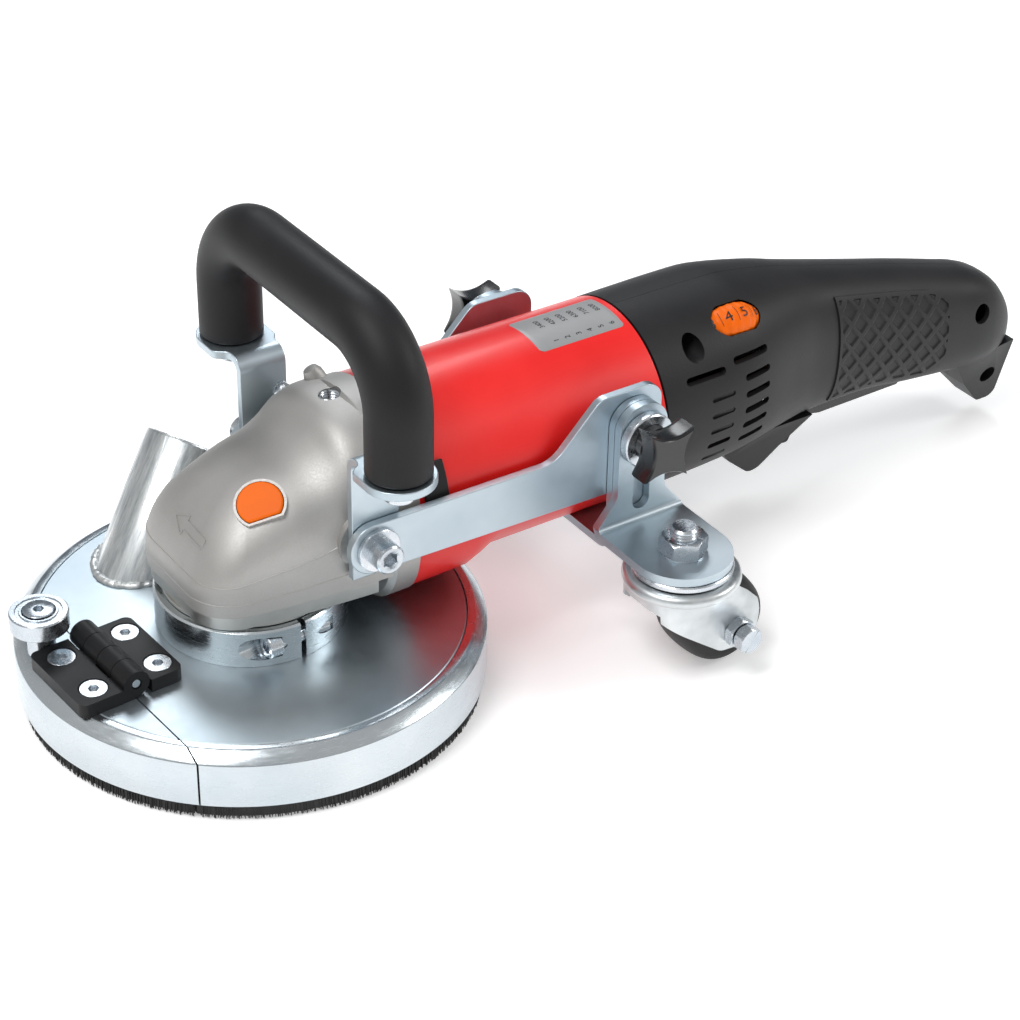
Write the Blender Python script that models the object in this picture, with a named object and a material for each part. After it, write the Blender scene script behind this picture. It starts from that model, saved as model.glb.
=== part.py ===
"""Concrete grinder: an angle-grinder motor with a brush-rimmed dust shroud, a bow handle and a
two-wheel chassis. X runs from the head to the tail, Z is up, and the floor is Z = 0.

The sizes below are millimetres; to_object() turns them into Blender's metres. Points are
measured from the foot of the spindle's axis, which stands at SPINDLE_X in the world."""

import math

import bmesh
import bpy
from mathutils import Matrix, Vector

MM = 0.001
GAP = 0.3

# Driving dimensions, in millimetres
SPINDLE_X = -162.57
ROUND = 36

SHROUD_R = 101.0
RING_BOTTOM = 7.2
RING_SHOULDER = 28.3
DISC_TOP = 32.6
DISC_R = 92.0
DISC_T = 3.0
COLLAR_R = 41.0
COLLAR_BORE = 33.5
COLLAR_TOP = 50.0
SHROUD_TURN = math.radians(3.0)
SPLIT_X = -71.0

HINGE_X = -70.5
HINGE_Z = 39.5
HINGE_Y = -2.9
HINGE_HALF = 22.5
BARREL_R = 6.0
LEAF_TOP = 38.9
FIXED_REACH = 22.0
FLAP_REACH = 25.5
SCREW_X = 15.0
SCREW_Y = 13.2

ROLLER_AT = (-86.3, 26.0)
ROLLER_R = 12.5
ROLLER_BOTTOM = 45.5
ROLLER_TOP = 53.5

PORT_BASE = (-18.0, 61.5)
PORT_LEAN = (0.727, 0.288, 1.0)
PORT_R = 20.0
PORT_WALL = 2.5
PORT_LENGTH = 53.0

WHEEL_R = 89.0
SPINDLE_R = 8.0
GEAR_TEETH = 24
PINION_TEETH = 8

MOTOR_Z = 81.5
MOTOR_R = 45.4
MOTOR_WALL = 3.2
MOTOR_FRONT = 57.0
MOTOR_BACK = 185.7
MOTOR_FLAT = 44.6
HEAD_BOTTOM = 58.6
FLANGE_BOTTOM = 52.0

BUTTON_AT = (-6.0, -23.0, 101.5)
BUTTON_AXIS = (-0.36, -0.42, 0.83)
BUTTON_R = 10.0
BUTTON_DEPTH = 8.0

DIAL_AT = (234.0, -26.6, 118.1)
DIAL_TILT = math.radians(36.0)
DIAL_R = 19.5
DIAL_WIDTH = 14.4
DIAL_PROUD = 4.6

TRIGGER_PIVOT = (352.0, 44.0)
LOCK_PIVOT = (292.0, 36.5)

HANDLE_X = 32.5
HANDLE_Y = 67.9
HANDLE_R = 13.9
HANDLE_FOOT = 127.0
HANDLE_TOP = 183.0
HANDLE_BEND = 30.0

PLATE_X = 34.0
BRACKET_T = 3.7
BRACKET_IN = 43.5
ARM_BOLT = (32.2, 81.8)
ARM_T = 4.0
ARM_IN = 47.5
BRACE_IN = 51.8
BRACE_T = 3.8
BRACE_BOTTOM = 39.6
MOUNT_IN = 55.9
MOUNT_T = 4.0
MOUNT_X = 160.5
MOUNT_HALF = 12.5
TAB_HALF = 22.4
TAB_TOP = 56.4
MOUNT_TOP = 113.3
SLOT_BOTTOM = 61.3
SLOT_TOP = 106.6
SLOT_R = 4.4
KNOB_Z = 97.5
KNOB_R = 17.0

CASTER_Y = 91.0
CASTER_TRAIL = 16.0
TYRE_R = 21.0
TYRE_HALF = 15.0
SWIVEL_R = 26.0

ROOT = None


# Helpers: bmesh shapes in millimetres
def material(name, colour, roughness, metallic):
    made = bpy.data.materials.new(name)
    made.use_nodes = True
    shader = made.node_tree.nodes["Principled BSDF"]
    shader.inputs["Base Color"].default_value = (*colour, 1.0)
    shader.inputs["Roughness"].default_value = roughness
    shader.inputs["Metallic"].default_value = metallic
    made.diffuse_color = (*colour, 1.0)
    return made


def to_object(name, shape, finish, origin=(0.0, 0.0, 0.0)):
    """Makes a shape into an object whose own origin is at the given point of the tool."""
    bmesh.ops.remove_doubles(shape, verts=shape.verts, dist=0.001)
    bmesh.ops.translate(shape, verts=shape.verts, vec=-Vector(origin))
    bmesh.ops.scale(shape, verts=shape.verts, vec=(MM, MM, MM))
    face_outwards(shape)
    mesh = bpy.data.meshes.new(name)
    shape.to_mesh(mesh)
    shape.free()
    mesh.shade_smooth()
    mesh.set_sharp_from_angle(angle=math.radians(35.0))
    made = bpy.data.objects.new(name, mesh)
    made.data.materials.append(finish)
    bpy.context.scene.collection.objects.link(made)
    made.parent = ROOT
    made.location = Vector(origin) * MM
    return made


def face_outwards(shape):
    if shape.calc_volume(signed=True) < 0:
        bmesh.ops.reverse_faces(shape, faces=shape.faces)


def boolean(shape, other, operation):
    """Combines two closed shapes and frees both."""
    pair = []
    for part in (shape, other):
        face_outwards(part)
        mesh = bpy.data.meshes.new("step")
        part.to_mesh(mesh)
        part.free()
        made = bpy.data.objects.new("step", mesh)
        bpy.context.scene.collection.objects.link(made)
        pair.append(made)
    step = pair[0].modifiers.new("step", "BOOLEAN")
    step.operation = operation
    step.object = pair[1]
    result = bmesh.new()
    result.from_object(pair[0], bpy.context.evaluated_depsgraph_get())
    for made in pair:
        mesh = made.data
        bpy.data.objects.remove(made)
        bpy.data.meshes.remove(mesh)
    return result


def cut(shape, *others):
    for other in others:
        shape = boolean(shape, other, "DIFFERENCE")
    return shape


def join(shape, *others):
    for other in others:
        shape = boolean(shape, other, "UNION")
    return shape


def common(shape, *others):
    for other in others:
        shape = boolean(shape, other, "INTERSECT")
    return shape


def moved(shape, offset=(0.0, 0.0, 0.0), matrix=None):
    if matrix is not None:
        bmesh.ops.transform(shape, matrix=matrix, verts=shape.verts)
    bmesh.ops.translate(shape, verts=shape.verts, vec=offset)
    return shape


def toward(direction):
    """The rotation that turns +Z to a direction."""
    return Vector(direction).to_track_quat("Z", "Y").to_matrix().to_4x4()


def box(low, high):
    shape = bmesh.new()
    bmesh.ops.create_cube(shape, size=1.0)
    for vert in shape.verts:
        vert.co = Vector([low[i] if vert.co[i] < 0 else high[i] for i in range(3)])
    return shape


def skin(rings, closed=False):
    """A closed body through rings of points; the end rings are capped unless it closes on itself."""
    shape = bmesh.new()
    rows = [[shape.verts.new(point) for point in ring] for ring in rings]
    count = len(rows[0])
    pairs = list(zip(rows, rows[1:] + rows[:1])) if closed else list(zip(rows, rows[1:]))
    for here, there in pairs:
        for i in range(count):
            j = (i + 1) % count
            shape.faces.new((here[i], here[j], there[j], there[i]))
    if not closed:
        shape.faces.new(rows[0])
        shape.faces.new(rows[-1])
    bmesh.ops.recalc_face_normals(shape, faces=shape.faces)
    return shape


def prism(outline, low, high, axis="Z"):
    """An outline drawn in XY, XZ or YZ, extruded along the axis that is left."""
    place = {
        "Z": lambda u, v, w: (u, v, w),
        "Y": lambda u, v, w: (u, w, v),
        "X": lambda u, v, w: (w, u, v),
    }[axis]
    return skin([[place(u, v, w) for u, v in outline] for w in (low, high)])


def disc_outline(radius, count=ROUND, centre=(0.0, 0.0), phase=0.0):
    turns = [2 * math.pi * i / count + phase for i in range(count)]
    return [(centre[0] + radius * math.cos(t), centre[1] + radius * math.sin(t)) for t in turns]


def cylinder(radius, low, high, axis="Z", centre=(0.0, 0.0), count=24):
    return prism(disc_outline(radius, count, centre), low, high, axis)


def rounded(corners, steps=5):
    """An outline from (u, v, radius) corners, each corner turned into an arc."""
    points = []
    for i, (u, v, radius) in enumerate(corners):
        here = Vector((u, v))
        before = (Vector(corners[i - 1][:2]) - here).normalized()
        after = (Vector(corners[(i + 1) % len(corners)][:2]) - here).normalized()
        if radius <= 0:
            points.append((u, v))
            continue
        half = before.angle(after) / 2
        centre = here + (before + after).normalized() * radius / math.sin(half)
        start = here + before * radius / math.tan(half) - centre
        end = here + after * radius / math.tan(half) - centre
        sweep = start.angle_signed(end)
        for k in range(steps + 1):
            turn = -sweep * k / steps
            x = start.x * math.cos(turn) - start.y * math.sin(turn)
            y = start.x * math.sin(turn) + start.y * math.cos(turn)
            points.append((centre.x + x, centre.y + y))
    return points


def turned(profile, count=ROUND, axis="Z"):
    """A closed (radius, height) profile turned about an axis through the origin."""
    rings = []
    for i in range(count):
        t = 2 * math.pi * i / count
        c, s = math.cos(t), math.sin(t)
        if axis == "Z":
            rings.append([(r * c, r * s, h) for r, h in profile])
        elif axis == "X":
            rings.append([(h, r * c, r * s) for r, h in profile])
        else:
            rings.append([(r * s, h, r * c) for r, h in profile])
    shape = skin(rings, closed=True)
    bmesh.ops.remove_doubles(shape, verts=shape.verts, dist=0.0005)
    return shape


def tube(path, radius, count=18):
    """A round bar along points, with flat ends square to the path."""
    rings = []
    side = Vector((1.0, 0.0, 0.0))
    for i, point in enumerate(path):
        ahead = Vector(path[min(i + 1, len(path) - 1)]) - Vector(path[max(i - 1, 0)])
        ahead.normalize()
        other = ahead.cross(side).normalized()
        turns = [2 * math.pi * k / count for k in range(count)]
        rings.append([Vector(point) + (side * math.cos(t) + other * math.sin(t)) * radius for t in turns])
    return skin(rings)


def superellipse(x, centre, half_y, half_z, power, count=28):
    """A squarish round section across X, with points on both of its axes."""
    points = []
    for i in range(count):
        t = 2 * math.pi * i / count
        c, s = math.cos(t), math.sin(t)
        y = math.copysign(abs(c) ** (2 / power), c) * half_y
        z = math.copysign(abs(s) ** (2 / power), s) * half_z
        points.append((x, y, centre + z))
    return points


def hexagon(across, centre=(0.0, 0.0)):
    return disc_outline(across / math.sqrt(3), 6, centre, math.pi / 6)


def both_sides(name, make, finish, origin=(0.0, 0.0, 0.0)):
    """Makes the left piece at -Y as drawn and the right one as its mirror image."""
    pieces = []
    for word, sign in (("left", 1.0), ("right", -1.0)):
        shape = make()
        if sign < 0:
            bmesh.ops.scale(shape, verts=shape.verts, vec=(1.0, -1.0, 1.0))
        place = (origin[0], origin[1] * sign, origin[2])
        pieces.append(to_object(f"{name}_{word}", shape, finish, place))
    return pieces


def to_shroud(name, shape, finish, origin=(0.0, 0.0, 0.0)):
    """Makes a piece of the shroud, which stands a few degrees round from the motor's axis."""
    turn = Matrix.Rotation(SHROUD_TURN, 4, "Z")
    return to_object(name, moved(shape, matrix=turn), finish, turn @ Vector(origin))


# Shroud
def flap_side(low_z=-5.0, high_z=60.0):
    """The space on the flap's side of the split."""
    reach = 130.0
    edge = SPLIT_X - GAP
    return box((-reach, -reach, low_z), (edge, reach, high_z))


def main_side(low_z=-5.0, high_z=60.0):
    reach = 130.0
    return box((SPLIT_X + GAP, -reach, low_z), (reach, reach, high_z))


def ring_profile():
    ledge = DISC_TOP - DISC_T - GAP
    return [
        (SHROUD_R, RING_BOTTOM),
        (SHROUD_R, RING_SHOULDER),
        (SHROUD_R - 4.7, DISC_TOP),
        (DISC_R + GAP, DISC_TOP),
        (DISC_R + GAP, ledge),
        (DISC_R - 3.5, ledge),
        (SHROUD_R - 7.5, ledge - 5.0),
        (SHROUD_R - 7.5, RING_BOTTOM),
        (SHROUD_R - 5.0, RING_BOTTOM),
        (SHROUD_R - 5.0, RING_BOTTOM + 13.0),
        (SHROUD_R - 1.6, RING_BOTTOM + 13.0),
        (SHROUD_R - 1.6, RING_BOTTOM),
    ]


def brush_profile():
    top = RING_BOTTOM + 13.0 - GAP
    inner, outer = SHROUD_R - 5.0 + GAP, SHROUD_R - 1.6 - GAP
    return [(inner, 0.0), (outer, 0.0), (outer, top), (inner, top)]


def port_space(radius, low, high):
    """A cylinder along the dust port's leaning axis."""
    lean = Vector(PORT_LEAN).normalized()
    shape = cylinder(radius, low, high, count=32)
    return moved(shape, (PORT_BASE[0], PORT_BASE[1], DISC_TOP), toward(lean))


def make_shroud(steel, black, bristle):
    ring = 48
    to_shroud("shroud_ring", common(turned(ring_profile(), ring), main_side()), steel)
    to_shroud("brush_main", common(turned(brush_profile(), ring), main_side()), bristle)

    turn_back = Matrix.Rotation(-SHROUD_TURN, 4, "Z")
    plate = common(prism(disc_outline(DISC_R, ring), DISC_TOP - DISC_T, DISC_TOP), main_side())
    plate = cut(plate, cylinder(COLLAR_BORE, 20.0, 40.0, count=32))
    plate = cut(plate, moved(port_space(PORT_R - PORT_WALL, -20.0, 20.0), matrix=turn_back))
    to_shroud("shroud_disc", plate, steel)

    pivot = (HINGE_X, HINGE_Y, HINGE_Z)
    to_shroud("flap_ring", common(turned(ring_profile(), ring), flap_side()), steel, pivot)
    to_shroud("flap_brush", common(turned(brush_profile(), ring), flap_side()), bristle, pivot)
    plate = prism(disc_outline(DISC_R, ring), DISC_TOP - DISC_T, DISC_TOP)
    to_shroud("flap_disc", common(plate, flap_side()), steel, pivot)

    port = cut(
        port_space(PORT_R, -20.0, PORT_LENGTH),
        port_space(PORT_R - PORT_WALL, -30.0, PORT_LENGTH + 5.0),
        box((-80.0, 0.0, -30.0), (60.0, 110.0, DISC_TOP + GAP)),
    )
    to_object("dust_port", port, steel)


def make_collar(steel):
    """A split clamp ring, its gap at -Y, with a cap screw lying across the gap."""
    screw_y, screw_z = -37.0, 41.4
    low = DISC_TOP + GAP
    ring = turned([(COLLAR_BORE, low), (COLLAR_R, low), (COLLAR_R, COLLAR_TOP), (COLLAR_BORE, COLLAR_TOP)])
    ring = cut(
        ring,
        box((-1.2, -60.0, low - 1.0), (1.2, -20.0, COLLAR_TOP + 1.0)),
        cylinder(3.0 + GAP, -15.0, 17.0, "X", (screw_y, screw_z), 16),
        cylinder(5.0 + GAP, -30.0, -9.7, "X", (screw_y, screw_z), 20),
    )
    to_object("shroud_collar", ring, steel)
    screw = join(
        cylinder(3.0, -10.5, 14.0, "X", (screw_y, screw_z), 16),
        cylinder(5.0, -16.0, -10.0, "X", (screw_y, screw_z), 20),
    )
    screw = cut(screw, prism(hexagon(5.0, (screw_y, screw_z)), -20.0, -13.0, "X"))
    to_object("collar_screw", screw, steel)


def leaf_outline(side):
    """One hinge leaf seen from above; side is +1 for the fixed leaf and -1 for the flap's."""
    inner, outer = BARREL_R + 0.8, FIXED_REACH if side > 0 else FLAP_REACH
    far = 3.5
    points = [
        (HINGE_X + side * inner, HINGE_Y - HINGE_HALF, 0.0),
        (HINGE_X + side * outer, HINGE_Y - HINGE_HALF, far),
        (HINGE_X + side * outer, HINGE_Y + HINGE_HALF, far),
        (HINGE_X + side * inner, HINGE_Y + HINGE_HALF, 0.0),
    ]
    return rounded(points if side > 0 else points[::-1], 3)


def knuckle(side, low, high):
    """A barrel length with the web that ties it to its leaf."""
    floor = DISC_TOP + GAP
    reach = HINGE_X + side * (BARREL_R + 2.0)
    web = box((min(HINGE_X, reach), low, floor), (max(HINGE_X, reach), high, LEAF_TOP))
    return join(cylinder(BARREL_R, low, high, "Y", (HINGE_X, HINGE_Z), 16), web)


def hinge_leaf(side):
    quarter = HINGE_HALF / 2
    top = HINGE_Y + HINGE_HALF
    leaf = prism(leaf_outline(side), DISC_TOP + GAP, LEAF_TOP)
    for k in (0, 2) if side > 0 else (1, 3):
        high = top - quarter * k - GAP / 2
        leaf = join(leaf, knuckle(side, high - quarter + GAP, high))
    x = HINGE_X + side * SCREW_X
    for y in (HINGE_Y - SCREW_Y, HINGE_Y + SCREW_Y):
        head = [(0.0, LEAF_TOP + 1.0), (6.3, LEAF_TOP + 1.0), (6.3, LEAF_TOP - 0.4), (3.3, LEAF_TOP - 3.4)]
        head += [(3.3, 30.0), (0.0, 30.0)]
        leaf = cut(leaf, moved(turned(head, 16), (x, y, 0.0)))
    return cut(leaf, cylinder(2.0 + GAP, -60.0, 60.0, "Y", (HINGE_X, HINGE_Z), 12))


def hinge_screw(x, y):
    foot = DISC_TOP + GAP
    head = [(0.0, LEAF_TOP - 0.3), (5.9, LEAF_TOP - 0.3), (5.9, LEAF_TOP - 0.7), (3.0, LEAF_TOP - 3.6)]
    screw = moved(turned(head + [(3.0, foot), (0.0, foot)], 16), (x, y, 0.0))
    return cut(screw, prism(hexagon(4.0, (x, y)), LEAF_TOP - 2.5, LEAF_TOP + 1.0))


def make_hinge(black, steel):
    pivot = (HINGE_X, HINGE_Y, HINGE_Z)
    to_shroud("hinge_leaf_fixed", hinge_leaf(1.0), black)
    to_shroud("hinge_leaf_flap", hinge_leaf(-1.0), black, pivot)
    ends = HINGE_Y - HINGE_HALF + 1.0, HINGE_Y + HINGE_HALF - 1.0
    to_shroud("hinge_pin", cylinder(2.0, *ends, "Y", (HINGE_X, HINGE_Z), 16), steel)
    for side, word in ((1.0, "fixed"), (-1.0, "flap")):
        for k, y in enumerate((HINGE_Y - SCREW_Y, HINGE_Y + SCREW_Y), 1):
            origin = pivot if side < 0 else (0.0, 0.0, 0.0)
            to_shroud(f"{word}_leaf_screw_{k}", hinge_screw(HINGE_X + side * SCREW_X, y), steel, origin)


def make_guide_roller(steel):
    x, y = ROLLER_AT
    foot = DISC_TOP + GAP
    post = [
        (0.0, foot),
        (6.0, foot),
        (6.0, ROLLER_BOTTOM - GAP),
        (3.9, ROLLER_BOTTOM - GAP),
        (3.9, ROLLER_TOP - 2.6),
        (6.6, ROLLER_TOP + GAP),
        (6.6, ROLLER_TOP + 0.8),
        (0.0, ROLLER_TOP + 0.8),
    ]
    screw = moved(turned(post, 20), (x, y, 0.0))
    screw = cut(screw, prism(hexagon(4.0, (x, y)), ROLLER_TOP - 2.0, ROLLER_TOP + 3.0))
    to_shroud("guide_post", screw, steel, (HINGE_X, HINGE_Y, HINGE_Z))
    ring = [
        (4.3, ROLLER_BOTTOM),
        (ROLLER_R, ROLLER_BOTTOM),
        (ROLLER_R, ROLLER_TOP),
        (7.1, ROLLER_TOP),
        (4.3, ROLLER_TOP - 2.9),
    ]
    to_shroud("guide_roller", moved(turned(ring, 28), (x, y, 0.0)), steel, (x, y, ROLLER_TOP))


# Gear head
def head_half_outline():
    """The gear head's plan from the nose round to the motor flange, on the +Y side."""
    corner = rounded([(-37.6, 0.0, 0.0), (-37.6, 33.5, 21.0), (-8.0, 38.0, 0.0)], 5)
    return corner + [(4.0, 39.8), (22.0, 41.4), (38.0, 42.7), (48.0, 43.1)]


def ridge_height(x):
    """The height of the gear head's top along its middle."""
    marks = [(-38.0, 81.0), (-30.0, 91.0), (-15.0, 100.5), (2.0, 107.0), (16.0, 111.5)]
    marks += [(24.0, 117.0), (31.0, 123.5), (48.0, 126.0)]
    for (x0, z0), (x1, z1) in zip(marks, marks[1:]):
        if x <= x1:
            return z0 + (z1 - z0) * (x - x0) / (x1 - x0)
    return marks[-1][1]


def head_shell():
    """A pillow over the plan outline: it rises straight, then rounds over to the ridge."""
    half = head_half_outline()
    outline = half[::-1] + [(x, -y) for x, y in half[1:]]
    insets = [0.0, 0.03, 0.1, 0.22, 0.4, 0.66, 1.0]
    power = 2.5
    shape = bmesh.new()
    rows = []
    for inset in [None] + insets:
        row = []
        for x, y in outline:
            q = inset or 0.0
            px = x * (1 - q) if x < 0 else x
            py = y * (1 - q)
            rise = (1 - (1 - q) ** power) ** (1 / power)
            wall = 0.34 * (ridge_height(px) - HEAD_BOTTOM)
            top = wall + (ridge_height(px) - HEAD_BOTTOM - wall) * rise
            row.append(shape.verts.new((px, py, HEAD_BOTTOM + (0.0 if inset is None else top))))
        rows.append(row)
    for here, there in zip(rows, rows[1:]):
        for i in range(len(here) - 1):
            shape.faces.new((here[i], here[i + 1], there[i + 1], there[i]))
    shape.faces.new(rows[0])
    shape.faces.new([row[0] for row in rows] + [row[-1] for row in rows[:-1][::-1]])
    bmesh.ops.remove_doubles(shape, verts=shape.verts, dist=0.01)
    bmesh.ops.dissolve_degenerate(shape, edges=shape.edges, dist=0.001)
    bmesh.ops.recalc_face_normals(shape, faces=shape.faces)
    return shape


def motor_section(x, grow=0.0, lower_power=2.0):
    """The motor's section: round above, and squarer below where the power is higher."""
    upper = superellipse(x, MOTOR_Z, MOTOR_R + grow, MOTOR_R + grow, 2.0, ROUND)
    lower = superellipse(x, MOTOR_Z, MOTOR_R + grow, MOTOR_R + grow, lower_power, ROUND)
    return [u if u[2] >= MOTOR_Z - 0.001 else v for u, v in zip(upper, lower)]


def make_gear_head(cast, orange):
    head = head_shell()
    flange = skin([motor_section(x, 0.6, 3.0) for x in (46.0, MOTOR_FRONT - GAP)])
    boss = cylinder(13.0, -BRACKET_IN + GAP, BRACKET_IN - GAP, "Y", ARM_BOLT, 24)
    head = join(head, flange, boss)
    bolt_bore = cylinder(4.0 + GAP, -60.0, 60.0, "Y", ARM_BOLT, 16)
    head = cut(
        head,
        cylinder(31.0, 40.0, 76.0, count=24),
        cylinder(14.0, 8.0, 80.0, "X", (0.0, MOTOR_Z), 20),
        cylinder(40.0, 48.0, 80.0, "X", (0.0, MOTOR_Z), 28),
        bolt_bore,
        cylinder(5.0, 110.0, 130.0, centre=(41.0, 0.0), count=20),
    )
    axis = Vector(BUTTON_AXIS).normalized()
    pocket = moved(cylinder(BUTTON_R + GAP, -BUTTON_DEPTH, 12.0, count=24), BUTTON_AT, toward(axis))
    head = cut(head, pocket)
    to_object("gear_housing", head, cast)
    button = moved(cylinder(BUTTON_R, -3.5, 1.6, count=24), BUTTON_AT, toward(axis))
    to_object("spindle_lock_button", button, orange, BUTTON_AT)


def make_bearing_flange(cast):
    half = [(x * 0.97, y * 0.97) for x, y in head_half_outline() if x < 40.0]
    outline = half[::-1] + [(x, -y) for x, y in half[1:]]
    plate = prism(outline, FLANGE_BOTTOM, HEAD_BOTTOM - GAP)
    neck = [(9.0, 34.0), (COLLAR_BORE - GAP, 34.0), (COLLAR_BORE - GAP, 55.0), (9.0, 55.0)]
    plate = join(plate, turned(neck, 32))
    plate = cut(plate, cylinder(9.0, 30.0, 70.0, count=24), cylinder(26.0, 56.0, 70.0, count=24))
    to_object("bearing_flange", plate, cast)


def toothed(teeth, root, tip, low, high, taper, bore):
    """A bevel gear: toothed rings that shrink towards the top, round a plain bore."""
    rings = []
    for height, scale in ((low, 1.0), (high, taper)):
        ring = []
        for i in range(teeth):
            for part, radius in ((0.0, root), (0.28, tip), (0.5, tip), (0.78, root)):
                t = 2 * math.pi * (i + part) / teeth
                ring.append((radius * scale * math.cos(t), radius * scale * math.sin(t), height))
        rings.append(ring)
    return cut(skin(rings), cylinder(bore, low - 2.0, high + 2.0, count=24))


def make_spindle(steel, grit):
    shaft = [
        (0.0, 11.0),
        (SPINDLE_R - 1.0, 11.0),
        (SPINDLE_R - 1.0, 22.8),
        (18.0, 22.8),
        (18.0, 27.5),
        (SPINDLE_R, 27.5),
        (SPINDLE_R, 72.0),
        (0.0, 72.0),
    ]
    to_object("spindle", turned(shaft, 24), steel)
    gear = toothed(GEAR_TEETH, 25.5, 28.0, 62.0, 71.0, 0.86, SPINDLE_R + GAP)
    to_object("output_gear", gear, steel)
    cup = [
        (SPINDLE_R + GAP, 18.0),
        (38.0, 18.0),
        (58.0, 20.0),
        (71.0, 20.0),
        (71.0, 1.0),
        (WHEEL_R, 1.0),
        (WHEEL_R, 8.0),
        (83.0, 24.0),
        (58.0, 24.0),
        (SPINDLE_R + GAP, 22.0),
    ]
    to_object("cup_wheel", turned(cup, 32), grit)
    hole = SPINDLE_R - 1.0 + GAP
    nut = turned([(hole, 12.0), (19.0, 12.0), (19.0, 17.7), (hole, 17.7)], 24)
    pins = [cylinder(2.2, 9.0, 15.0, centre=(s * 14.0, 0.0), count=12) for s in (-1, 1)]
    to_object("clamp_nut", cut(nut, *pins), steel)


# Motor
def make_motor(red, black, steel, copper):
    stations = [(MOTOR_FRONT, 3.0), (86.0, 3.0), (101.0, 2.0), (MOTOR_BACK, 2.0)]
    sleeve = skin([motor_section(x, 0.0, power) for x, power in stations])
    under = box((104.0, -60.0, 0.0), (200.0, 60.0, MOTOR_FLAT))
    bore = cylinder(MOTOR_R - MOTOR_WALL, 50.0, 200.0, "X", (0.0, MOTOR_Z), ROUND)
    floor = box((50.0, -60.0, 0.0), (200.0, 60.0, MOTOR_FLAT + MOTOR_WALL))
    sleeve = cut(sleeve, under, cut(bore, floor))
    cap_hole = box((60.0, -60.0, 90.0), (69.0, -30.0, 99.0))
    to_object("motor_housing", cut(sleeve, cap_hole), red)
    cap = box((60.0 + GAP, -46.0, 90.0 + GAP), (69.0 - GAP, -40.0, 99.0 - GAP))
    to_object("brush_access_cap", cap, black)

    stator = cut(
        cylinder(MOTOR_R - MOTOR_WALL - 0.6, 92.0, 150.0, "X", (0.0, MOTOR_Z), 40),
        cylinder(26.5, 80.0, 160.0, "X", (0.0, MOTOR_Z), 32),
        box((80.0, -60.0, 0.0), (160.0, 60.0, MOTOR_FLAT + MOTOR_WALL + 0.6)),
    )
    to_object("stator", stator, steel)

    def on_axis(profile, count=24):
        return moved(turned(profile, count, "X"), (0.0, 0.0, MOTOR_Z))

    pivot = (100.0, 0.0, MOTOR_Z)
    shaft = [(0.0, 17.5), (4.5, 17.5), (4.5, 60.0), (6.0, 60.0), (6.0, 178.0), (0.0, 178.0)]
    to_object("armature_shaft", on_axis(shaft), steel, pivot)
    core = [(6.0 + GAP, 94.0), (25.5, 94.0), (25.5, 148.0), (6.0 + GAP, 148.0)]
    to_object("armature_core", on_axis(core, 32), steel, pivot)
    rings = [(6.0 + GAP, 153.0), (14.0, 153.0), (14.0, 168.0), (6.0 + GAP, 168.0)]
    to_object("commutator", on_axis(rings, 24), copper, pivot)
    blades = []
    for i in range(18):
        radius = 32.5 if i % 2 else 17.0
        for shift in (-0.35, 0.35):
            t = 2 * math.pi * (i + shift) / 18
            blades.append((radius * math.cos(t), MOTOR_Z + radius * math.sin(t)))
    fan = join(prism(blades, 66.0, 78.0, "X"), cylinder(33.0, 76.0, 80.0, "X", (0.0, MOTOR_Z), 36))
    fan = cut(fan, cylinder(6.0 + GAP, 60.0, 90.0, "X", (0.0, MOTOR_Z), 24))
    to_object("motor_fan", fan, black, pivot)
    pinion = toothed(PINION_TEETH, 7.4, 9.4, 0.0, 13.0, 0.72, 4.5 + GAP)
    lay_back = Matrix.Rotation(math.radians(-90.0), 4, "Y")
    to_object("pinion", moved(pinion, (31.5, 0.0, MOTOR_Z), lay_back), steel, pivot)


# Tail housing
TAIL_STATIONS = [
    # x, top, bottom, half width, power
    (MOTOR_BACK + GAP, 127.0, 36.0, 45.4, 2.0),
    (200.0, 127.0, 36.4, 45.4, 2.05),
    (230.0, 126.8, 38.4, 43.4, 2.2),
    (244.0, 126.4, 39.6, 40.8, 2.3),
    (272.0, 121.6, 41.6, 32.2, 2.45),
    (288.0, 117.4, 42.2, 28.2, 2.45),
    (326.0, 107.2, 41.6, 24.4, 2.5),
    (357.0, 99.0, 37.6, 23.0, 2.5),
    (385.0, 90.8, 34.6, 22.2, 2.5),
    (402.0, 85.4, 33.0, 21.6, 2.5),
    (413.0, 78.5, 34.5, 19.0, 2.45),
    (420.5, 68.5, 38.0, 14.5, 2.4),
    (424.0, 61.0, 43.0, 8.5, 2.4),
]


def tail_loft(inset):
    rings = []
    stations = TAIL_STATIONS if inset == 0 else TAIL_STATIONS[:-2]
    for i, (x, top, bottom, half, power) in enumerate(stations):
        if inset and i == 0:
            x -= 5.0
        centre = (top + bottom) / 2
        rings.append(superellipse(x, centre, half - inset, (top - bottom) / 2 - inset, power))
    return skin(rings)


def dial_axes():
    normal = Vector((0.0, -math.sin(DIAL_TILT), math.cos(DIAL_TILT)))
    return normal, Vector((1.0, 0.0, 0.0)).cross(normal)


def dial_shape(radius, half):
    normal, axle = dial_axes()
    centre = Vector(DIAL_AT) - normal * (DIAL_R - DIAL_PROUD)
    rim = [(radius, 0.0), (radius - 0.4, half * 0.33), (radius - 1.7, half * 0.66), (radius - 3.9, half)]
    profile = [(0.0, -half)] + [(r, -h) for r, h in rim[:0:-1]] + rim + [(0.0, half)]
    return moved(turned(profile, 32), centre, toward(axle)), centre


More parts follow.
